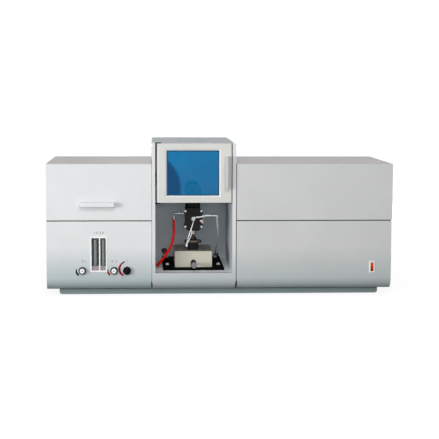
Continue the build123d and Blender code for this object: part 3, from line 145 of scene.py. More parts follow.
class Finish(Tree):
    """A material's nodes. Its patterns read Object coordinates, in metres."""

    def __init__(self, name):
        self.material = bpy.data.materials.new(name)
        super().__init__(self.material)
        self.shader = self.tree.nodes["Principled BSDF"]
        self.place = self.node("ShaderNodeTexCoord").outputs["Object"]

    def set(self, **values):
        """Sets or links inputs of the main shader. An underscore in a name stands for a space."""
        for key, value in values.items():
            self.join(value, self.shader.inputs[key.replace("_", " ")])

    def along(self, axis):
        """The place along one axis."""
        return self.node("ShaderNodeSeparateXYZ", {0: self.place}).outputs[axis]

    def noise(self, scale, detail, stretch=None):
        """Cloudy noise from 0 to 1, with scale patches to a metre. A stretch scales each axis."""
        place = self.place
        if stretch:
            place = self.node("ShaderNodeMapping", {"Vector": place, "Scale": stretch}).outputs[0]
        values = {"Vector": place, "Scale": scale, "Detail": detail}
        return self.node("ShaderNodeTexNoise", values).outputs["Fac"]

    def spread(self, value, low, high, start=0.3, stop=0.7):
        """A value from start to stop, moved to a range from low to high and kept inside it."""
        return self.node("ShaderNodeMapRange", {
            "Value": value, "From Min": start, "From Max": stop, "To Min": low, "To Max": high,
        }).outputs[0]

    def mix(self, share, first, second):
        """The first colour where share is 0 and the second where it is 1."""
        colours = {0: share, 6: first, 7: second}
        return self.node("ShaderNodeMix", colours, data_type="RGBA").outputs[2]

    def clouds(self, first, second, scale, detail=3):
        """One colour in clouds of another."""
        return self.mix(self.spread(self.noise(scale, detail), 0.0, 1.0), first, second)

    def inside(self, node, grow):
        """1 inside the rectangle that a node fills, seen from the front, grown at each side."""
        low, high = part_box(node)
        return self.both(*[
            self.near(self.along(axis), (low[axis] + high[axis]) / 2,
                      (high[axis] - low[axis]) / 2 + grow) for axis in (X, Z)])

    def edges(self, reach):
        """The rounded normal, and near 1 on outside edges, where it turns from the real one."""
        rounded = self.node("ShaderNodeBevel", {"Radius": reach}, samples=4).outputs[0]
        real = self.node("ShaderNodeNewGeometry").outputs["Normal"]
        same = self.vector("DOT_PRODUCT", rounded, real)
        return rounded, self.spread(same, 1.0, 0.0, 0.80, 0.985)

    def worn(self, base, edge, share, colour):
        """Sets the base colour, with a share of a worn colour on the edges."""
        self.set(Base_Color=self.mix(self.both(edge, share), base, colour))

    def rough(self, low, high, scale, detail=3, start=0.3, stop=0.7):
        """Sets the roughness, in clouds from low to high."""
        self.set(Roughness=self.spread(self.noise(scale, detail), low, high, start, stop))

    def bump(self, height, depth, normal):
        """Raises the surface by depth metres where height is 1, and gives the material."""
        values = {"Height": height, "Distance": depth}
        if normal:
            values["Normal"] = normal
        self.set(Normal=self.node("ShaderNodeBump", values).outputs[0])
        return self.material

    def grain(self, scale, depth, normal=None):
        """Raises the surface in a grain of noise, and gives the material."""
        return self.bump(self.noise(scale, 2), depth, normal)


def paint(name, colour, roughness=0.42, peel=0.05 * MM, worn=1.12, shine=0.42, foot=None, seams=()):
    """Powder coat on sheet metal: faint clouds, an orange-peel skin, and edges rubbed paler.

    A foot is a colour that the paint is darkened to towards the bench, as painted shade and a
    painted reflection of the bench, and it is darker still where the sheet curves under, as painted
    shade. A seam is an axis and a place on it: behind the front and within its half width, dark
    grey is painted as the shade in the gap. Paint with a foot also carries clouds of dust on level
    faces, which are painted darker too, as the shade on the tops.
    """
    seam_half_width, front_skin, top_skin = 2.2 * MM, 1.2 * MM, 1.5 * MM
    full_foot_shade_z, unshaded_z = 0.03, 0.15
    under_z, curve_z = 0.018, 0.034
    made = Finish(name)
    rounded, edge = made.edges(0.9 * MM)
    base = made.clouds(shaded(colour, 0.965), shaded(colour, 1.02), 7)
    grains = made.spread(made.noise(1500, 1), 0.0, 0.10, 0.55, 0.75)
    base = made.mix(grains, base, shaded(colour, 0.80))
    if foot:
        # Painted shade and a painted reflection of the bench: darker towards the foot
        base = made.mix(made.spread(made.along(Z), 1.0, 0.0, full_foot_shade_z, unshaded_z), base, foot)
        # Painted shade where the sheet curves under
        under = made.spread(made.along(Z), 0.5, 0.0, under_z, curve_z)
        base = made.mix(under, base, srgb(92, 118, 117))
        # Level faces: clouds of dust, and painted shade that makes the tops darker than the fronts
        normal = made.node("ShaderNodeTexCoord").outputs["Normal"]
        upward = made.node("ShaderNodeSeparateXYZ", {0: normal}).outputs[Z]
        dust = made.both(made.above(upward, 0.9), made.spread(made.noise(14, 4), 0.7, 0.95))
        base = made.mix(dust, base, shaded(colour, (0.87, 0.79, 0.76)))
    # Painted shade in each seam's gap, behind the front
    for axis, at in seams:
        within = made.both(made.near(made.along(axis), at, seam_half_width),
                           made.above(made.along(Y), front_y + front_skin),
                           made.below(made.along(Z), side_top_z - top_skin))
        base = made.mix(within, base, srgb(50, 52, 53))
    made.worn(base, edge, 0.6, shaded(colour, worn))
    made.rough(roughness - 0.05, roughness + 0.06, 30)
    made.set(Specular_IOR_Level=shine)
    return made.grain(620, peel, rounded)


def plastic(name, colour, roughness, grain=0.02 * MM, coat=0.0, shine=0.5):
    """Moulded plastic: an even colour with a fine spark-eroded grain and dust in the shine."""
    made = Finish(name)
    rounded, edge = made.edges(0.4 * MM)
    base = made.clouds(shaded(colour, 0.93), shaded(colour, 1.04), 60)
    made.worn(base, edge, 0.35, shaded(colour, 1.35))
    made.rough(roughness - 0.06, roughness + 0.08, 220)
    made.set(Coat_Weight=coat, Coat_Roughness=0.15, Specular_IOR_Level=shine)
    return made.grain(2600, grain, rounded)


def metal(name, colour, roughness, stretch=(40, 40, 2200), depth=0.01 * MM, stain=None):
    """Machined metal: fine tool marks across one axis, cloudy stains and brighter rubbed edges."""
    made = Finish(name)
    rounded, edge = made.edges(0.35 * MM)
    marks = made.noise(1.0, 3, stretch)
    base = made.mix(made.spread(marks, 0.0, 1.0), shaded(colour, 0.86), shaded(colour, 1.06))
    stains = made.spread(made.noise(130, 4), 0.0, 0.55, 0.5, 0.75)
    base = made.mix(stains, base, stain or shaded(colour, 0.72))
    made.worn(base, edge, 0.5, shaded(colour, 1.25))
    made.set(Metallic=1.0)
    made.rough(roughness - 0.07, roughness + 0.1, 350)
    return made.bump(marks, depth, rounded)


def anodised(name, colour, roughness=0.40):
    """Black anodised aluminium: deep matt black, with a grey gleam where its edges have rubbed."""
    grey = (0.10, 0.095, 0.09, 1.0)
    made = Finish(name)
    rounded, edge = made.edges(0.5 * MM)
    base = made.clouds(shaded(colour, 0.7), shaded(colour, 1.5), 90, 4)
    base = made.mix(made.spread(made.noise(480, 5), 0.0, 0.35, 0.62, 0.8), base, grey)
    made.worn(base, edge, 0.55, grey)
    made.rough(roughness - 0.05, roughness + 0.14, 260)
    made.set(Specular_IOR_Level=0.14)
    return made.grain(3200, 0.012 * MM, rounded)


def rubber(name, colour, roughness=0.6, grain=0.03 * MM, shine=0.5):
    """Moulded or drawn rubber: matt, faintly cloudy, with a fine skin."""
    made = Finish(name)
    made.set(Base_Color=made.clouds(shaded(colour, 0.86), shaded(colour, 1.08), 80))
    made.rough(roughness - 0.08, roughness + 0.1, 400)
    made.set(Specular_IOR_Level=shine)
    return made.grain(1800, grain)


def glass(name, colour, roughness, through=1.0, index=1.49):
    """Glass or clear plastic: light passes through, with faint smears in the shine."""
    made = Finish(name)
    made.set(Base_Color=colour, IOR=index, Transmission_Weight=through)
    made.rough(roughness, roughness + 0.05, 45, 4, 0.45, 0.8)
    return made.grain(25, 0.02 * MM)


def thin_glass(name, facing, edge, clear, dense):
    """A thin glass wall: one colour and cover seen straight on, and others seen along the wall."""
    made = Finish(name)
    turn = made.node("ShaderNodeLayerWeight", {"Blend": 0.4}).outputs["Facing"]
    smears = made.spread(made.noise(60, 3), -0.03, 0.03)
    made.set(Base_Color=made.mix(made.spread(turn, 0.0, 1.0, 0.15, 0.75), facing, edge))
    made.set(Alpha=made.maths("ADD", smears, made.spread(turn, clear, dense, 0.1, 0.8)))
    made.rough(0.04, 0.09, 45, 4, 0.45, 0.8)
    made.set(Specular_IOR_Level=0.5)
    return made.material


def printed(name, colour):
    """Screen-printed ink: an even coat, slightly broken up at its grain."""
    made = Finish(name)
    broken = made.spread(made.noise(900, 2), 0.0, 0.3, 0.55, 0.8)
    made.set(Base_Color=made.mix(broken, colour, shaded(colour, 1.4)))
    made.set(Roughness=0.5, Specular_IOR_Level=0.15)
    return made.material


def blue_acrylic():
    """The window's deep blue sheet: half of the light passes, and blue light scatters inside it.

    It is a deeper blue low down. Inside a wide circle at its lower left it is darker and denser, a
    painted shade, and a band along the frame is painted dark as the frame's shadow.
    """
    frame_shadow_width, deep_z, pale_z = 6.2 * MM, 0.30, 0.46
    circle_x, circle_z, circle_radius = -0.2404, 0.325, 0.117
    made = Finish("blue_acrylic")
    share = made.maths("ADD", made.spread(made.along(Z), 0.0, 1.0, deep_z, pale_z),
                       made.spread(made.noise(9, 2), -0.2, 0.2))
    base = made.mix(share, srgb(0, 141, 205), srgb(8, 163, 232))
    # Painted shadow of the frame, in a band along the window's edge
    base = made.mix(made.inside("door_window", -frame_shadow_width), srgb(0, 62, 104), base)
    # Painted shade inside a wide circle at the lower left: darker, and less of the light passes
    shifted = made.node("ShaderNodeMapping", {
        "Vector": made.place, "Location": (-circle_x, 0, -circle_z), "Scale": (1, 0, 1),
    }).outputs[0]
    reach = made.vector("LENGTH", shifted)
    dense = made.spread(reach, 1.0, 0.0, circle_radius, circle_radius + 7 * MM)
    made.set(Base_Color=made.mix(dense, base, srgb(0, 85, 138)), Transmission_Weight=0.3)
    made.set(Alpha=made.spread(dense, 0.5, 0.97), IOR=1.49, Specular_IOR_Level=0.05)
    made.rough(0.05, 0.10, 40, 4, 0.45, 0.8)
    return made.grain(14, 0.03 * MM)


def door_paint():
    """The door's warm white, with a whiter bevel round its window: a paler trim with a painted
    highlight.
    """
    colour = srgb(216, 215, 211)
    made = Finish("door_paint")
    rounded, edge = made.edges(0.9 * MM)
    base = made.clouds(shaded(colour, 0.965), shaded(colour, 1.02), 7)
    # The bevel round the window: paler trim, and a painted highlight
    base = made.mix(made.inside("door_window", 0.4 * MM), base, srgb(252, 252, 251))
    made.worn(base, edge, 0.5, shaded(colour, 1.15))
    made.rough(0.32, 0.42, 30)
    made.set(Specular_IOR_Level=0.42)
    return made.grain(620, 0.04 * MM, rounded)


def box_paint():
    """The atomiser box's beige, painted darker on top in clouds, as the shade on its top face."""
    colour = srgb(200, 197, 181)
    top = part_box("atomiser_box")[1].z
    made = Finish("box_paint")
    rounded, edge = made.edges(0.9 * MM)
    base = made.clouds(shaded(colour, 0.95), shaded(colour, 1.03), 9)
    on_top = made.spread(made.along(Z), 0.0, 1.0, top - 1.2 * MM, top - 0.4 * MM)
    # Painted shade on the top face, in clouds
    painted_top_shade = made.both(on_top, made.spread(made.noise(55, 5), 0.5, 0.95, 0.35, 0.6))
    base = made.mix(painted_top_shade, base, srgb(90, 88, 74))
    made.worn(base, edge, 0.6, shaded(colour, 1.15))
    made.rough(0.4, 0.52, 30)
    made.set(Specular_IOR_Level=0.35)
    return made.grain(620, 0.05 * MM, rounded)


def post_metal():
    """The post's dark bronze, with a plated nut at its top."""
    nut_height = 12.2 * MM
    made = Finish("post_metal")
    rounded = made.edges(0.35 * MM)[0]
    nut = made.above(made.along(Z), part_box("lift_post")[1].z - nut_height)
    marks = made.noise(1.0, 3, (40, 40, 1500))
    share = made.spread(marks, 0.0, 1.0)
    bronze = made.mix(share, srgb(58, 40, 33), srgb(92, 64, 50))
    plate = made.mix(share, srgb(128, 126, 122), srgb(150, 147, 142))
    made.set(Base_Color=made.mix(nut, bronze, plate), Metallic=1.0)
    made.rough(0.26, 0.42, 350)
    return made.bump(marks, 0.01 * MM, rounded)


def wheel_metal():
    """The height wheel: black, with a grey rim that is brown across its middle, front and back."""
    rim_middle, rim_half_height, hub_reach = 6 * MM, 2.6 * MM, 10.9 * MM
    brown_to, grey_from = 8 * MM, 15 * MM
    low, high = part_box("height_wheel")
    middle = (atomiser_x, (low.y + high.y) / 2, low.z + 8 * MM)
    made = Finish("wheel_metal")
    rounded, edge = made.edges(0.5 * MM)
    rim = made.both(made.near(made.along(Z), low.z + rim_middle, rim_half_height),
                    made.above(made.vector("DISTANCE", made.place, middle), hub_reach))
    brown = made.clouds(srgb(104, 82, 70), srgb(148, 120, 104), 160, 4)
    aside = made.spread(made.off(made.along(X), atomiser_x), 0.0, 1.0, brown_to, grey_from)
    base = made.mix(rim, deep_black, made.mix(aside, brown, srgb(74, 72, 71)))
    made.worn(base, edge, 0.4, srgb(96, 92, 88))
    made.rough(0.4, 0.55, 260)
    made.set(Specular_IOR_Level=0.3)
    return made.grain(3200, 0.012 * MM, rounded)


def lamp_moulding():
    """The lamps' bases: black moulding, with a blank pale label round each."""
    label_half_width = 9 * MM
    made = Finish("lamp_moulding")
    paper = made.clouds(srgb(214, 214, 206), srgb(230, 230, 224), 300)
    label = made.near(made.along(X), lamp_label_x, label_half_width)
    made.set(Base_Color=made.mix(label, srgb(30, 30, 33), paper), Specular_IOR_Level=0.3)
    made.rough(0.35, 0.5, 220)
    return made.grain(2600, 0.02 * MM)


def rocker_plastic():
    """The lit rocker: orange at its top and a deeper red below."""
    low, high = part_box("power_rocker")
    made = Finish("rocker_plastic")
    up = made.spread(made.along(Z), 0.0, 1.0, low.z + 1 * MM, high.z - 3 * MM)
    base = made.mix(up, srgb(146, 0, 0), srgb(248, 82, 0))
    base = made.mix(made.spread(made.noise(90, 3), 0.0, 0.3), base, srgb(210, 50, 0))
    made.set(Base_Color=base, Specular_IOR_Level=0.12)
    made.rough(0.26, 0.38, 220)
    return made.grain(2600, 0.02 * MM)


def chamber_lining():
    """The chamber's lining: pale grey sides and back, painted darker higher up as the shade under
    the door and roof, over a floor painted near white, which partly stands in for the light it
    catches.
    """
    unshaded_z, deepest_shade_z = 0.30, 0.46
    made = Finish("chamber_lining")
    rounded = made.edges(0.8 * MM)[0]
    wall = made.clouds(srgb(212, 218, 222), srgb(222, 228, 231), 6, 4)
    # Painted shade on the walls, darker higher up under the door and roof
    upper_shade = made.spread(made.along(Z), 0.0, 0.45, unshaded_z, deepest_shade_z)
    wall = made.mix(upper_shade, wall, srgb(96, 96, 96))
    # The floor is painted near white, partly standing in for the light it catches
    on_floor = made.spread(made.along(Z), 1.0, 0.0, liner_floor_z - 0.4 * MM, liner_floor_z)
    made.set(Base_Color=made.mix(on_floor, wall, srgb(250, 251, 251)))
    made.rough(0.38, 0.5, 30)
    return made.grain(620, 0.05 * MM, rounded)


def inlet_plastic():
    """The mains inlet: black plastic, with nickel on the three blades that stand in its well."""
    blade_pitch, half_width, half_height = 7 * MM, 1.1 * MM, 2.1 * MM
    well_mouth_y, well_end_y = back_y - 1.5 * MM, back_y - 13.5 * MM
    low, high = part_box("mains_inlet")
    middle_x, middle_z = (low.x + high.x) / 2, (low.z + high.z) / 2
    made = Finish("inlet_plastic")
    blades = 0.0
    for step, rise in ((-1, 1), (0, 3), (1, 1)):
        blade = made.both(made.near(made.along(X), middle_x + step * blade_pitch, half_width),
                          made.near(made.along(Z), middle_z + rise * MM, half_height))
        blades = made.maths("MAXIMUM", blade, blades)
    blades = made.both(blades, made.below(made.along(Y), well_mouth_y),
                       made.above(made.along(Y), well_end_y))
    made.set(Base_Color=made.mix(blades, srgb(38, 38, 40), srgb(206, 202, 192)), Metallic=blades)
    made.rough(0.3, 0.42, 220)
    return made.grain(2200, 0.02 * MM)


def meter_body():
    """The flow meters' dark teal body: a scale behind each tube, a dark head and a greyish foot."""
    scale_pitch, line_share, scale_y = 5 * MM, 0.2, front_y + 12 * MM
    low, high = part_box("meter_tubes")
    made = Finish("meter_body")
    base = made.clouds(srgb(30, 52, 50), srgb(44, 70, 68), 60)
    steps = made.maths("DIVIDE", made.maths("SUBTRACT", made.along(Z), low.z), scale_pitch)
    lines = made.both(made.below(made.maths("FRACT", steps), line_share),
                      made.above(made.along(Y), scale_y))
    base = made.mix(lines, base, srgb(110, 124, 122))
    base = made.mix(made.below(made.along(Z), low.z + 1 * MM), base, srgb(150, 140, 146))
    head = made.above(made.along(Z), high.z - 1 * MM)
    made.set(Base_Color=made.mix(head, base, srgb(14, 22, 22)))
    made.rough(0.28, 0.42, 220)
    return made.grain(2600, 0.02 * MM)


bottom_seam, middle_seam = (Z, plinth_top_z), (Z, seam_z)
deep_black = (0.008, 0.008, 0.009, 1.0)

# The foot colours are painted shade and a painted reflection of the bench, low on each part. The
# seams are painted shade in the gaps, and the plinth's is the cabinets' painted shadow on it.
left_grey = paint("left_cabinet_paint", srgb(224, 226, 226), foot=srgb(163, 178, 181),
                  seams=(middle_seam, bottom_seam, (X, left_inner_x)))
right_grey = paint("right_cabinet_paint", srgb(210, 211, 209), foot=srgb(174, 184, 184),
                   seams=(middle_seam, bottom_seam, (X, right_inner_x)))
tower_grey = paint("tower_paint", srgb(222, 225, 225), foot=srgb(176, 185, 188),
                   seams=((X, tower_left_x), (X, tower_right_x)))
roof_grey = paint("roof_paint", srgb(182, 190, 192))
lid_handle_white = paint("lid_handle_paint", srgb(228, 229, 230), 0.36)
handle_grey = paint("door_handle_paint", srgb(214, 212, 209), 0.36)
plinth_grey = paint("plinth_paint", srgb(123, 139, 137), 0.5, seams=(bottom_seam,))
black_paint = paint("black_stove_paint", srgb(8, 8, 9), 0.8, 0.08 * MM, 2.2, 0.03)
meter_glass = thin_glass("meter_tube_glass", srgb(158, 167, 163), srgb(8, 56, 48), 0.5, 0.85)
lamp_glass = thin_glass("lamp_glass", srgb(206, 214, 218), srgb(120, 130, 135), 0.04, 0.3)
lens_glass = glass("lens_glass", (0.90, 0.94, 0.98, 1.0), 0.01)
tube_clear = glass("clear_tubing", (0.90, 0.92, 0.92, 1.0), 0.12, 0.8, 1.4)
tube_white = plastic("white_tubing", srgb(238, 240, 240), 0.28, 0.005 * MM, 0.3)
black_plastic = plastic("black_moulding", srgb(10, 10, 12), 0.5, shine=0.08)
knob_skirt_grey = plastic("knob_skirt_moulding", srgb(52, 54, 62), 0.45, shine=0.12)
white_plastic = plastic("white_moulding", srgb(246, 246, 245), 0.3, coat=0.3)
screw_zinc = plastic("zinc_flake_coat", srgb(226, 226, 222), 0.42, 0.01 * MM)
steel = metal("bright_steel", srgb(172, 172, 170), 0.3)
dull_steel = metal("dull_steel", srgb(112, 112, 114), 0.42)
rose_metal = metal("rose_bronze", srgb(226, 204, 196), 0.42)
brass = metal("brass", srgb(190, 158, 96), 0.32)
zinc = metal("zinc_plate", srgb(176, 180, 184), 0.38, (500, 30, 500))
cast_aluminium = metal("cast_aluminium", srgb(178, 180, 182), 0.5, (300, 300, 300), 0.05 * MM)
titanium = metal("burner_titanium", srgb(58, 56, 56), 0.5, (900, 30, 900), 0.01 * MM,
                 srgb(44, 36, 34))
black_metal = anodised("black_anodised", deep_black)
chamber_black = anodised("spray_chamber_black", (0.008, 0.008, 0.008, 1.0), 0.5)
black_rubber = rubber("black_rubber", srgb(40, 40, 40))
red_rubber = rubber("red_hose_rubber", (1.0, 0.011, 0.001, 1.0), 0.4, 0.01 * MM, 0.12)
black_ink = printed("black_ink", srgb(10, 10, 14))
red_ink = printed("red_ink", srgb(148, 0, 26))
deep_red_ink = printed("deep_red_ink", srgb(92, 0, 16))
grey_ink = printed("grey_ink", srgb(92, 94, 98))

clothes = [
    (plinth_grey, "base_frame"),
    (left_grey, "left_lower_cabinet", "left_rear_panel", "lamp_lid"),
    (right_grey, "right_lower_cabinet", "right_upper_cover", "right_rear_panel"),
    (tower_grey, "chamber_shell"),
    (chamber_lining(), "chamber_liner"),
    (roof_grey, "chamber_roof"),
    (door_paint(), "door_frame"),
    (blue_acrylic(), "door_window"),
    (handle_grey, "door_handle"),
    (lid_handle_white, "lid_handle"),
    (black_paint, "door_hinges", "base_plate"),
    (box_paint(), "atomiser_box"),
    (meter_body(), "meter_block"),
    (meter_glass, "meter_tubes"),
    (white_plastic, "meter_bezel", "rocker_bezel"),
    (rocker_plastic(), "power_rocker"),
    (inlet_plastic(), "mains_inlet"),
    (lens_glass, "lens_glasses", "cathode_lamps"),
    (black_plastic, "air_knob", "fuel_knob", "on_off_knob"),
    (black_rubber, "rubber_feet", "hose_grommets"),
    (tube_white, "nebuliser_air_tube"),
    (steel, "lid_hinge_pin", "flange_screws", "nebuliser", "hose_fittings"),
    (dull_steel, "air_float", "fuel_float", "fore_aft_knob"),
    (brass, "gas_valves", "gas_inlet_stubs"),
    (zinc, "lid_hinge_fixed_leaf", "lid_hinge_moving_leaf", "turret_bracket", "power_supply"),
    (cast_aluminium, "monochromator_casting", "grating_holder"),
    (titanium, "burner_head"),
    (wheel_metal(), "height_wheel"),
    (post_metal(), "lift_post"),
    (chamber_black, "spray_chamber"),
    (black_metal, "turret_motor", "turret_drum", "lens_tubes", "photomultiplier_housing",
     "slide_base", "slide_block", "lift_column"),
]
for finish, *dressed in clothes:
    for name in dressed:
        mesh = nodes[name].data
        mesh.materials.clear()
        mesh.materials.append(finish)


# Making meshes
def shown(name, data):
    """A new object in the scene, at the origin."""
    made = bpy.data.objects.new(name, data)
    bpy.context.scene.collection.objects.link(made)
    return made


def piece(name, points, faces, finish, body, slot):
    """A mesh object from its points and faces, closed, facing outwards, and riding on a body."""
    sharp = math.radians(35)
    mesh = bpy.data.meshes.new(name)
    mesh.from_pydata(np.asarray(points, float).tolist(), [], [list(face) for face in faces])
    shell = bmesh.new()
    shell.from_mesh(mesh)
    bmesh.ops.remove_doubles(shell, verts=shell.verts, dist=1e-7)
    bmesh.ops.recalc_face_normals(shell, faces=shell.faces)
    shell.to_mesh(mesh)
    shell.free()
    mesh.polygons.foreach_set("use_smooth", np.ones(len(mesh.polygons), bool))
    mesh.set_sharp_from_angle(angle=sharp)
    mesh.materials.append(finish)
    made = shown(name, mesh)
    if body:
        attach(made, body)
    return made


def skin(rings, closed=False):
    """Points and faces of a skin over rings, an array of shape (rings, points in a ring, 3).

    Ring i and ring i + 1 are joined by quads, each ring closes on itself, and the first and last
    ring are capped, or joined to each other if the whole is closed.
    """
    count, around = rings.shape[:2]
    index = np.arange(count * around).reshape(count, around)
    beside = np.roll(index, -1, axis=1)
    ahead, ahead_beside = np.roll(index, -1, axis=0), np.roll(beside, -1, axis=0)
    quads = np.stack([index, beside, ahead_beside, ahead], axis=-1)
    if closed:
        return rings.reshape(-1, 3), quads.reshape(-1, 4).tolist()
    caps = [index[0][::-1].tolist(), index[-1].tolist()]
    return rings.reshape(-1, 3), quads[:-1].reshape(-1, 4).tolist() + caps


AXES = {
    "front": np.array([[1, 0, 0], [0, 0, -1], [0, 1, 0]], float),
    "back": np.array([[-1, 0, 0], [0, 0, 1], [0, 1, 0]], float),
    "right": np.array([[0, 0, 1], [1, 0, 0], [0, 1, 0]], float),
}


def turned(profile, steps, flutes=0, cut=0.0, fluted=(0, 0)):
    """Rings of a turned shape standing on Z zero.

    Row i of the profile gives a height and a radius. The ring's point at angle t lies at that
    radius, less cut times (0.5 + 0.5 cos(flutes t)) squared on the rows that carry flutes.
    """
    profile = np.asarray(profile, float)
    turn = np.linspace(0, 2 * math.pi, steps, endpoint=False)
    radius = np.repeat(profile[:, 1:2], steps, axis=1)
    radius[fluted[0]:fluted[1]] -= cut * (0.5 + 0.5 * np.cos(flutes * turn)) ** 2
    height = np.repeat(profile[:, 0:1], steps, axis=1)
    return np.stack([radius * np.cos(turn), radius * np.sin(turn), height], axis=-1)


def placed(rings, facing, where=(0, 0, 0)):
    """Rings turned to face one way and moved to a place."""
    return rings @ AXES[facing].T + np.array(where)


def many(points, faces, places):
    """The same shape at several places, as one set of points and faces: each point plus a place."""
    places = np.asarray(places, float)
    all_points = (points[None] + places[:, None]).reshape(-1, 3)
    all_faces = [[v + n * len(points) for v in face] for n in range(len(places)) for face in faces]
    return all_points, all_faces


def rounded_rectangle(width, height, radius):
    """Points round a rectangle whose corners are quarter circles, each of steps + 1 points."""
    steps = 6
    turn = np.linspace(0, math.pi / 2, steps + 1)
    turn = (turn[None] + np.arange(4)[:, None] * math.pi / 2).ravel()
    away = np.stack([np.cos(turn), np.sin(turn)], axis=-1)
    corner = np.repeat(np.array([[1, 1], [-1, 1], [-1, -1], [1, -1]]), steps + 1, axis=0)
    return corner * np.array([width / 2 - radius, height / 2 - radius]) + radius * away


# Hoses. Their points repeat the routes of the construction model
red_route = [
    (-0.1380, -0.0760, 0.2220), (-0.1380, -0.0760, 0.1960), (-0.1385, -0.0770, 0.1710),
    (-0.1430, -0.0805, 0.1480), (-0.1525, -0.0855, 0.1275), (-0.1650, -0.0910, 0.1090),
    (-0.1745, -0.0935, 0.0965), (-0.1815, -0.0900, 0.0875), (-0.1870, -0.0815, 0.0805),
    (-0.1900, -0.0700, 0.0768), (-0.1895, -0.0480, 0.0770), (-0.1845, -0.0220, 0.0785),
    (-0.1760, 0.0060, 0.0815), (-0.1670, 0.0350, 0.0855), (-0.1610, 0.0640, 0.0900),
    (-0.1605, 0.0920, 0.0940), (-0.1640, 0.1130, 0.0958), (-0.1654, 0.1330, 0.0963),
    (-0.1654, 0.1560, 0.0963),
]
clear_route = [
    (-0.0050, -0.1180, 0.2300), (-0.0050, -0.1180, 0.2170), (-0.0030, -0.1120, 0.1990),
    (-0.0005, -0.0970, 0.1800), (0.0005, -0.0710, 0.1605), (0.0000, -0.0420, 0.1420),
    (-0.0020, -0.0130, 0.1250), (-0.0030, 0.0170, 0.1090), (-0.0010, 0.0480, 0.0960),
    (0.0030, 0.0800, 0.0865), (0.0053, 0.1080, 0.0820), (0.0058, 0.1310, 0.0808),
    (0.0058, 0.1580, 0.0808),
]
capillary_route = [
    (-0.0785, -0.1270, 0.2270), (-0.0785, -0.1350, 0.2270), (-0.0790, -0.1420, 0.2245),
    (-0.0805, -0.1465, 0.2185), (-0.0830, -0.1485, 0.2100), (-0.0865, -0.1485, 0.2000),
    (-0.0905, -0.1470, 0.1880), (-0.0945, -0.1445, 0.1750), (-0.0975, -0.1415, 0.1620),
    (-0.0995, -0.1385, 0.1500),
]


# Radii of the hoses and of the capillary's second strand
red_radius, clear_radius, capillary_radius, spare_radius = 3.8 * MM, 2.5 * MM, 1.2 * MM, 1.3 * MM


def mesh_points(guide):
    """The points and faces of a curve's mesh. The curve's object and its mesh are removed."""
    mesh = bpy.data.meshes.new_from_object(guide)
    points = np.array([vertex.co for vertex in mesh.vertices])
    faces = [list(polygon.vertices) for polygon in mesh.polygons]
    bpy.data.objects.remove(guide)
    bpy.data.meshes.remove(mesh)
    return points, faces


def route_line(name, points):
    """The points of a smooth curve through a route, as Blender's NURBS spline gives them."""
    curve = bpy.data.curves.new(name, "CURVE")
    curve.dimensions = "3D"
    curve.resolution_u = 6
    spline = curve.splines.new("NURBS")
    spline.points.add(len(points) - 1)
    spline.points.foreach_set("co", np.array([(*point, 1.0) for point in points]).ravel())
    spline.order_u = 3
    spline.use_endpoint_u = True
    return mesh_points(shown(name, curve))[0]


def tube(line, radius, steps):
    """Points and faces of a round tube along a line of points.

    At each point the ring lies square to the line's direction, which is the difference of the
    neighbours, and its first axis is that direction crossed with X. The ends are capped.
    """
    ahead = np.gradient(line, axis=0)
    ahead /= np.linalg.norm(ahead, axis=1)[:, None]
    side = np.cross(ahead, np.array([1.0, 0.0, 0.0]))
    side /= np.linalg.norm(side, axis=1)[:, None]
    up = np.cross(ahead, side)
    turn = np.linspace(0, 2 * math.pi, steps, endpoint=False)[None, :, None]
    radius = np.broadcast_to(np.asarray(radius, float), len(line))[:, None, None]
    away = np.cos(turn) * side[:, None] + np.sin(turn) * up[:, None]
    return skin(line[:, None] + radius * away)


red_line = route_line("red_guide", red_route)
red_hose = piece("red_hose_dressed", *tube(red_line, red_radius, 24), red_rubber, None,
                 "red_rubber")
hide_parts("red_hose")
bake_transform(red_hose)

clear_line = route_line("clear_guide", clear_route)
clear_tube = piece("clear_tube_dressed", *tube(clear_line, clear_radius, 20), tube_clear, None,
                   "clear_tubing")
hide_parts("clear_tube")
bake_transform(clear_tube)

# The capillary has a tip past its end and a clear sleeve on its lower part. Its spare length runs
# back up beside it: the same line, bowed out by half a sine wave
sleeve_from_share, spare_from_share = 0.42, 0.56
capillary_line = route_line("capillary_guide", capillary_route)
capillary = piece("capillary_dressed", *tube(capillary_line, capillary_radius, 16), tube_white,
                  "atomiser", "white_plastic")
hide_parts("capillary")
way = capillary_line[-1] - capillary_line[-2]
way /= np.linalg.norm(way)
tip_line = capillary_line[-1] + np.array([-1.5, -1.2, 0.0, 4.5, 6.2, 7.0])[:, None] * MM * way
tip_radius = np.array([1.6, 3.0, 3.3, 3.2, 2.6, 1.3]) * MM
capillary_tip = piece("capillary_tip", *tube(tip_line, tip_radius, 20), white_plastic, "atomiser",
                      "white_plastic")
sleeve_line = capillary_line[int(sleeve_from_share * len(capillary_line)):]
sleeve_radius = np.interp(np.linspace(0, 1, len(sleeve_line)),
                          (0, 0.06, 0.5, 1), (1.5, 1.9, 2.0, 2.1)) * MM
capillary_sleeve = piece("capillary_sleeve", *tube(sleeve_line, sleeve_radius, 24), tube_clear,
                         "atomiser", "clear_tubing")
beside_line = capillary_line[int(spare_from_share * len(capillary_line)):]
bow = np.sin(np.linspace(0, math.pi, len(beside_line)))[:, None]
spare_line = beside_line + (bow * np.array([6.8, 0, 1.0]) - np.array([0, 1.2, 0])) * MM
capillary_spare = piece("capillary_spare", *tube(spare_line, spare_radius, 16), tube_white,
                        "atomiser", "white_plastic")


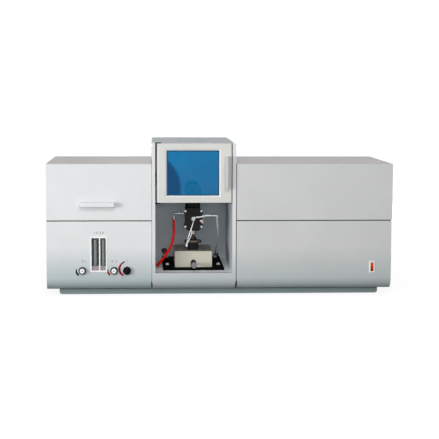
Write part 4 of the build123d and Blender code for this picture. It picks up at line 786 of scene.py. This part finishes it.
# Fasteners and fittings. The profiles are rows of height and radius in millimetres
def plate_screws():
    """Cap screws in the corners of the base plate: washer, head, rounded rim and a deep socket."""
    head, height, socket = 4.6, 5.0, 2.2
    profile = [(0, 1.45 * head), (0.8, 1.45 * head), (1, 1.38 * head), (1, head),
               (height - 0.5, head), (height - 0.1, 0.93 * head), (height, 0.86 * head),
               (height, socket), (0.45 * height, 0.98 * socket), (0.42 * height, 0.1 * socket)]
    aside, front_row_y, back_row_y = 80 * MM, -0.061, 0.112
    places = [(atomiser_x + side * aside, y, plate_top_z)
              for side in (-1, 1) for y in (front_row_y, back_row_y)]
    rings = turned(np.array(profile) * MM, 36)
    piece("plate_screws", *many(*skin(rings), places), screw_zinc, "housing", "silver_metal")


def panel_screws():
    """Pan-head screws with a small recess, along the upper and lower edges of both rear panels."""
    inset, sunk = 9 * MM, 0.1 * MM
    profile = [(0, 3.4), (0.8, 3.4), (1.5, 2.6), (1.8, 1.3), (1.0, 1.1), (0.9, 0.1)]
    places = []
    for panel in ("left_rear_panel", "right_rear_panel"):
        low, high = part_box(panel)
        places += [(x, high.y - sunk, z)
                   for x in (low.x + inset, (low.x + high.x) / 2, high.x - inset)
                   for z in (low.z + inset, high.z - inset)]
    rings = placed(turned(np.array(profile) * MM, 12), "back")
    piece("panel_screws", *many(*skin(rings), places), steel, "housing", "silver_metal")


def dressed_lamps():
    """The lamps as glass cups on moulded bases, with the metal parts inside.

    Each is a turned shape along the lamp's axis, measured from the glass's rim. The glass runs from
    the window's outer face down the outside, over its rim and back inside. The metal runs from the
    stem over the thin rod and the shield to the hollow cathode's cup.
    """
    lamp_count, circle, glass_length = 6, 42 * MM, 140 * MM
    low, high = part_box("turret_drum")
    turn = np.arange(lamp_count) * 2 * math.pi / lamp_count
    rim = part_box("cathode_lamps")[1].x - glass_length
    places = np.stack([np.full(lamp_count, rim), (low.y + high.y) / 2 + circle * np.sin(turn),
                       (low.z + high.z) / 2 + circle * np.cos(turn)], axis=-1)
    cup = [(140, 0.2), (140, 11.4), (139.4, 12), (109, 12), (106.6, 13), (104.5, 16.4), (101, 18),
           (1, 18), (0, 17.4), (0, 16.9), (100.5, 16.8), (103.6, 15.6), (106, 11.8), (138.8, 10.8),
           (138.8, 0.2)]
    inner = [(0.5, 12), (10, 9), (22, 2), (56, 1.5), (56, 14), (58, 14), (58, 6), (79, 6), (79, 4),
             (62, 4), (62, 0.3)]
    base = [(-49, 0.3), (-49, 15.8), (-48.3, 16.5), (-0.2, 16.5), (-0.2, 0.3)]
    for name, profile, steps, finish, slot in (
        ("lamp_bulbs", cup, 28, lamp_glass, "clear_glass"),
        ("lamp_bases", base, 28, lamp_moulding(), "black_plastic"),
        ("cathodes", inner, 12, cast_aluminium, "aluminium"),
    ):
        rings = placed(turned(np.array(profile) * MM, steps), "right")
        made = piece(name, *many(*skin(rings), places), finish, "turret", slot)
        if name == "lamp_bulbs":
            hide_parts("cathode_lamps")


def dressed_meter_tubes():
    """The flow meters' glass tubes, each a ring of wall, open at both ends."""
    bore, chamfer = 3.6 * MM, 0.3 * MM
    low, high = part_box("meter_tubes")
    radius = (high.y - low.y) / 2
    length = high.z - low.z
    wall = [(0, bore), (0, radius - chamfer), (chamfer, radius), (length - chamfer, radius),
            (length, radius - chamfer), (length, bore)]
    places = [(x, (low.y + high.y) / 2, low.z) for x in (low.x + radius, high.x - radius)]
    tubes = piece("meter_tubes_dressed", *many(*skin(turned(wall, 40), closed=True), places),
                  meter_glass, "housing", "clear_glass")
    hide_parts("meter_tubes")


def fitting_collars():
    """Round knurled collars on the fuel elbow and the air elbow, turned about their pipes.

    The profile is a sleeve with rounded rims and a groove in its middle.
    """
    sleeve = [(0, 3.3), (0, 4.6), (0.6, 5.3), (4.6, 5.3), (5, 4.7), (6, 4.7), (6.4, 5.3),
              (10.4, 5.3), (11, 4.6), (11, 3.3)]
    on_fuel_elbow, on_air_elbow = (-0.1285, -0.076, 0.2408), (-0.019, -0.118, 0.238)
    rings = placed(turned(np.array(sleeve) * MM, 36, 18, 0.3 * MM, (2, 8)), "right")
    piece("fitting_collars", *many(*skin(rings, closed=True), [on_fuel_elbow, on_air_elbow]),
          steel, "atomiser", "silver_metal")


def flange_fittings():
    """A hexagon nut behind the nebuliser's gland, and a short barbed nozzle low on the flange.

    Both are turned shapes, the nut with six steps. The nozzle's axis leans down to the right.
    """
    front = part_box("spray_chamber")[0].y
    at_gland, at_nozzle = (-0.0787, front, 0.2277), (-0.0570, front - 3.6 * MM, 0.2235)
    nut = [(-0.2, 5.2), (-0.2, 8.6), (3.2, 8.6), (3.8, 8.0), (3.8, 5.2)]
    rings = placed(turned(np.array(nut) * MM, 6), "front", at_gland)
    piece("gland_nut", *skin(rings, closed=True), steel, "atomiser", "silver_metal")
    nozzle = [(0, 0.3), (0, 4.4), (3, 4.4), (3.4, 3.6), (7, 3.3), (7.2, 4.3), (10.5, 3.5),
              (12.5, 2.9), (12.5, 1.7), (4, 1.6), (4, 0.2)]
    lean = math.radians(140)
    tilt = np.array([[math.cos(lean), 0, math.sin(lean)], [0, 1, 0],
                     [-math.sin(lean), 0, math.cos(lean)]])
    rings = turned(np.array(nozzle) * MM, 28) @ tilt.T + np.array(at_nozzle)
    piece("flange_nozzle", *skin(rings), rose_metal, "atomiser", "silver_metal")


plate_screws()
flange_fittings()
fitting_collars()
panel_screws()
dressed_lamps()
dressed_meter_tubes()


# Door handle
def door_handle_bar():
    """The door's pull: a bar with a ridge left of its middle, standing on two feet.

    The bar's section has a short steep side to the left of the ridge and a long gentle one to the
    right, and shrinks about its middle near both ends. Each foot is a rounded rectangle.
    """
    low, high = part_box("door_handle")
    middle_x = (low.x + high.x) / 2
    section = np.array([
        (-7.7, 13.5), (-7.7, 9.5), (-7.2, 6.6), (-6.0, 4.0), (-4.3, 1.6), (-3.2, 0.4), (-2.2, 0.0),
        (-1.0, 0.3), (2.4, 2.4), (5.2, 4.6), (7.0, 6.8), (7.7, 9.0), (7.7, 13.5),
    ]) * MM
    stations = np.array([0, 0.3, 1.2, 3, 8]) * MM
    drawn = np.array([0.72, 0.86, 0.95, 0.99, 1])
    stations = np.concatenate([low.z + stations, high.z - stations[::-1]])
    drawn = np.concatenate([drawn, drawn[::-1]])
    heart = np.array([0, 8 * MM])
    foot_inset, foot_from = 11 * MM, 10 * MM
    flat = heart + (section - heart)[None] * drawn[:, None, None]
    height = np.broadcast_to(stations[:, None, None], (*flat.shape[:2], 1))
    bar = np.concatenate([flat + np.array([middle_x, low.y]), height], axis=-1)
    points, faces = skin(bar)
    foot_line = rounded_rectangle(9 * MM, 14 * MM, 3 * MM)
    foot = np.stack([
        np.stack([foot_line[:, 0] + middle_x, np.full(len(foot_line), depth), foot_line[:, 1]],
                 axis=-1) for depth in (low.y + foot_from, high.y)])
    foot_places = [(0, 0, z) for z in (low.z + foot_inset, high.z - foot_inset)]
    feet_points, feet_faces = many(*skin(foot), foot_places)
    faces += [[v + len(points) for v in face] for face in feet_faces]
    handle = piece("door_handle_bar", np.concatenate([points, feet_points]), faces, handle_grey,
                   "door", "door_white")
    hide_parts("door_handle")


door_handle_bar()


# Gas controls
def dial_knob(name):
    """A needle valve knob: a fluted dark skirt, and a white cap with a dot, held in a ring.

    The profiles are rows of height and radius in millimetres, and the ring's closes on itself.
    """
    skirt = [(0, 10.6), (0.5, 11.4), (1.2, 11.5), (5.6, 11.5), (6.6, 11.1), (7.0, 10.2), (7.0, 7.9)]
    cap = [(6.0, 7.7), (14.6, 7.3), (15.3, 7.1), (15.8, 6.5), (15.9, 5.7), (15.6, 3.4), (15.5, 0.3)]
    ring = [(7.0, 7.8), (7.2, 8.6), (7.9, 8.7), (8.2, 8.1), (8.2, 7.5), (7.0, 7.5)]
    dot = [(15.3, 1.7), (15.8, 1.7), (15.95, 1.3), (16.0, 0.2)]
    flutes = (24, 0.55 * MM, (1, 5))
    clearance = 0.3 * MM
    where = (knob_x[name], front_y - clearance, control_z)
    for part, profile, steps, fluting, finish, slot in (
        ("skirt", skirt, 144, flutes, knob_skirt_grey, "black_plastic"),
        ("cap", cap, 64, (), white_plastic, "white_plastic"),
        ("ring", ring, 64, (), black_metal, "black_paint"),
        ("dot", dot, 24, (), black_metal, "black_paint"),
    ):
        rings = placed(turned(np.array(profile) * MM, steps, *fluting), "front", where)
        made = piece(f"{name}_{part}", *skin(rings, part == "ring"), finish, name, slot)
        if part == "skirt":
            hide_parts(name)


def gas_knob_line():
    """The pointer's red line, let into the grip of the gas cock's knob."""
    grip_height = 17.35 * MM
    where = (knob_x["on_off_knob"], front_y - grip_height, control_z)
    mark = np.array([(-0.8, 5.0), (0.8, 5.0), (0.8, 8.6), (-0.8, 8.6)])
    rings = np.stack([np.insert(mark, 2, height, axis=1) for height in (-0.25, 0.1)]) * MM
    piece("on_off_knob_line", *skin(placed(rings, "front", where)), deep_red_ink, "on_off_knob",
          "orange_plastic")


def crescent(name, knob, turns, radii, widths, ink):
    """A printed crescent beside a knob, which stands 0.1 mm proud.

    Angle, radius and width run evenly between the values given, and each station is a small
    rectangle from radius minus half the width to radius plus half of it.
    """
    share = np.linspace(0, 1, 40)
    turn, radius, width = [np.interp(share, np.linspace(0, 1, len(row)), row)[:, None]
                           for row in (np.radians(turns), radii, widths)]
    sunk, ink_height = 0.02, 0.12
    side, height = np.array([(-1, 0), (1, 0), (1, ink_height), (-1, ink_height)]).T
    reach = (radius + width / 2 * side) * MM
    rings = np.stack([
        knob_x[knob] + reach * np.cos(turn),
        front_y + np.broadcast_to((sunk - height) * MM, reach.shape),
        control_z + reach * np.sin(turn),
    ], axis=-1)
    piece(name, *skin(rings), ink, "housing", "black_paint")


def figure(name, text, size, x, z, ink):
    """A generic figure printed on the front of the left cabinet, 0.1 mm thick."""
    half_height, middle_y = 0.05 * MM, front_y - 0.03 * MM
    curve = bpy.data.curves.new(name, "FONT")
    curve.body, curve.size, curve.extrude = text, size * MM, half_height
    curve.align_x, curve.align_y = "CENTER", "CENTER"
    curve.resolution_u = 3
    flat, faces = mesh_points(shown(name + "_guide", curve))
    points = np.stack([x + flat[:, 0], middle_y - flat[:, 2], z + flat[:, 1]], axis=-1)
    piece(name, points, faces, ink, "housing", "black_paint")


dial_knob("air_knob")
dial_knob("fuel_knob")
gas_knob_line()
for name, knob, turns, radii, widths, ink in (
    ("air_mark", "air_knob", (164, 198, 232), (18.2, 18.6, 18.0), (2.4, 5.8, 6.6), black_ink),
    ("fuel_mark", "fuel_knob", (168, 198, 229), (18.9, 18.9, 18.0), (2.4, 5.6, 6.4), red_ink),
    ("on_off_mark", "on_off_knob", (124, 152, 175, 205, 234), (26.2, 24.8, 23.0, 20.8, 18.2),
     (4.8, 6.4, 7.0, 6.4, 6.0), red_ink),
    ("on_off_mark_end", "on_off_knob", (103, 124), (27.6, 26.2), (3.2, 4.8), deep_red_ink),
):
    crescent(name, knob, turns, radii, widths, ink)
for name, text, size, x, z, ink in (
    ("air_figures", "0 1", 10, -0.4125, 0.1085, grey_ink),
    ("fuel_figure_tens", "0", 9, -0.3270, 0.1085, grey_ink),
    ("fuel_figure_ones", "2", 9, -0.3150, 0.1085, red_ink),
    ("on_off_figure_open", "1", 9, -0.2810, 0.1095, grey_ink),
    ("on_off_figure_shut", "0", 8, -0.2955, 0.0590, grey_ink),
    ("meter_figures", "1 0  2 0", 10, -0.3680, 0.1945, grey_ink),
):
    figure(name, text, size, x, z, ink)


# Stage
def studio_air():
    """A dim cool light from all round, white where the camera or a reflection sees it."""
    room_light = 0.24
    world = bpy.data.worlds.new("studio_air")
    bpy.context.scene.world = world
    air = Tree(world)
    dim = air.node("ShaderNodeBackground", {0: (0.93, 0.97, 1.0, 1.0), 1: room_light})
    white = air.node("ShaderNodeBackground", {0: (1.0, 1.0, 1.0, 1.0)})
    light = {0: air.seen_rays(), 1: dim.outputs[0], 2: white.outputs[0]}
    chosen = air.node("ShaderNodeMixShader", light).outputs[0]
    air.join(chosen, air.tree.nodes["World Output"].inputs[0])


def studio_floor():
    """A wide pale matt floor that keeps shadows, lifted to white where the camera sees it.

    The lift grows with the distance from the instrument, so that the floor runs into the air.
    """
    reach = 30.0
    made = Finish("pale_floor")
    made.set(Base_Color=(0.2, 0.2, 0.2, 1.0), Roughness=0.9, Specular_IOR_Level=0.1)
    lift = made.spread(made.vector("LENGTH", made.place), 0.88, 1.0, 0.8, 3.5)
    made.set(Emission_Color=(1, 1, 1, 1), Emission_Strength=made.both(made.seen_rays(), lift))
    corners = [(-reach, -reach, 0), (reach, -reach, 0), (reach, reach, 0), (-reach, reach, 0)]
    mesh = bpy.data.meshes.new("studio_floor")
    mesh.from_pydata(corners, [], [(0, 1, 2, 3)])
    mesh.materials.append(made.material)
    shown("studio_floor", mesh)


def soft_light(name, place, target, size, power, colour):
    """A soft lamp at a place, turned to a target. Its size is a width and a height."""
    light = bpy.data.lights.new(name, "AREA")
    light.shape, light.energy, light.color = "RECTANGLE", power, colour
    light.size, light.size_y = size
    lamp = shown(name, light)
    lamp.location = place
    lamp.rotation_euler = (Vector(target) - Vector(place)).to_track_quat("-Z", "Y").to_euler()


def make_camera():
    """The camera where the photograph was taken from, 3.9 m in front and a little above."""
    place, focal_length = (-0.22198, -4.11823, 0.6396), 106.67
    yaw, pitch, roll = 0.056, 0.103, -0.0034
    forward = Vector((math.sin(yaw) * math.cos(pitch), math.cos(yaw) * math.cos(pitch),
                      -math.sin(pitch)))
    right = Vector((math.cos(yaw), -math.sin(yaw), 0))
    down = forward.cross(right)
    turned_right = math.cos(roll) * right + math.sin(roll) * down
    turned_down = -math.sin(roll) * right + math.cos(roll) * down
    matrix = Matrix((turned_right, -turned_down, -forward)).transposed().to_4x4()
    matrix.translation = place
    data = bpy.data.cameras.new("camera")
    data.lens, data.sensor_width, data.clip_end = focal_length, 36, 100
    camera = shown("camera", data)
    camera.matrix_world = matrix
    bpy.context.scene.camera = camera


studio_air()
studio_floor()
soft_light("key_light", (-2.2, -2.1, 0.5), (-0.2, 0, 0.25), (1.0, 0.8), 39, (1.0, 0.995, 0.985))
soft_light("front_light", (-0.1, -2.7, 1.7), (-0.05, 0, 0.15), (1.8, 0.9), 28, (0.99, 0.995, 1.0))
soft_light("fill_light", (0.1, -3.3, 0.66), (-0.05, 0, 0.2), (1.8, 0.4), 14, (0.98, 0.99, 1.0))
soft_light("rear_light", (0.6, 3.0, 0.3), (0, 0, 0.2), (2.2, 0.4), 24, (0.98, 0.99, 1.0))
make_camera()
bpy.context.scene.view_settings.view_transform = "Standard"
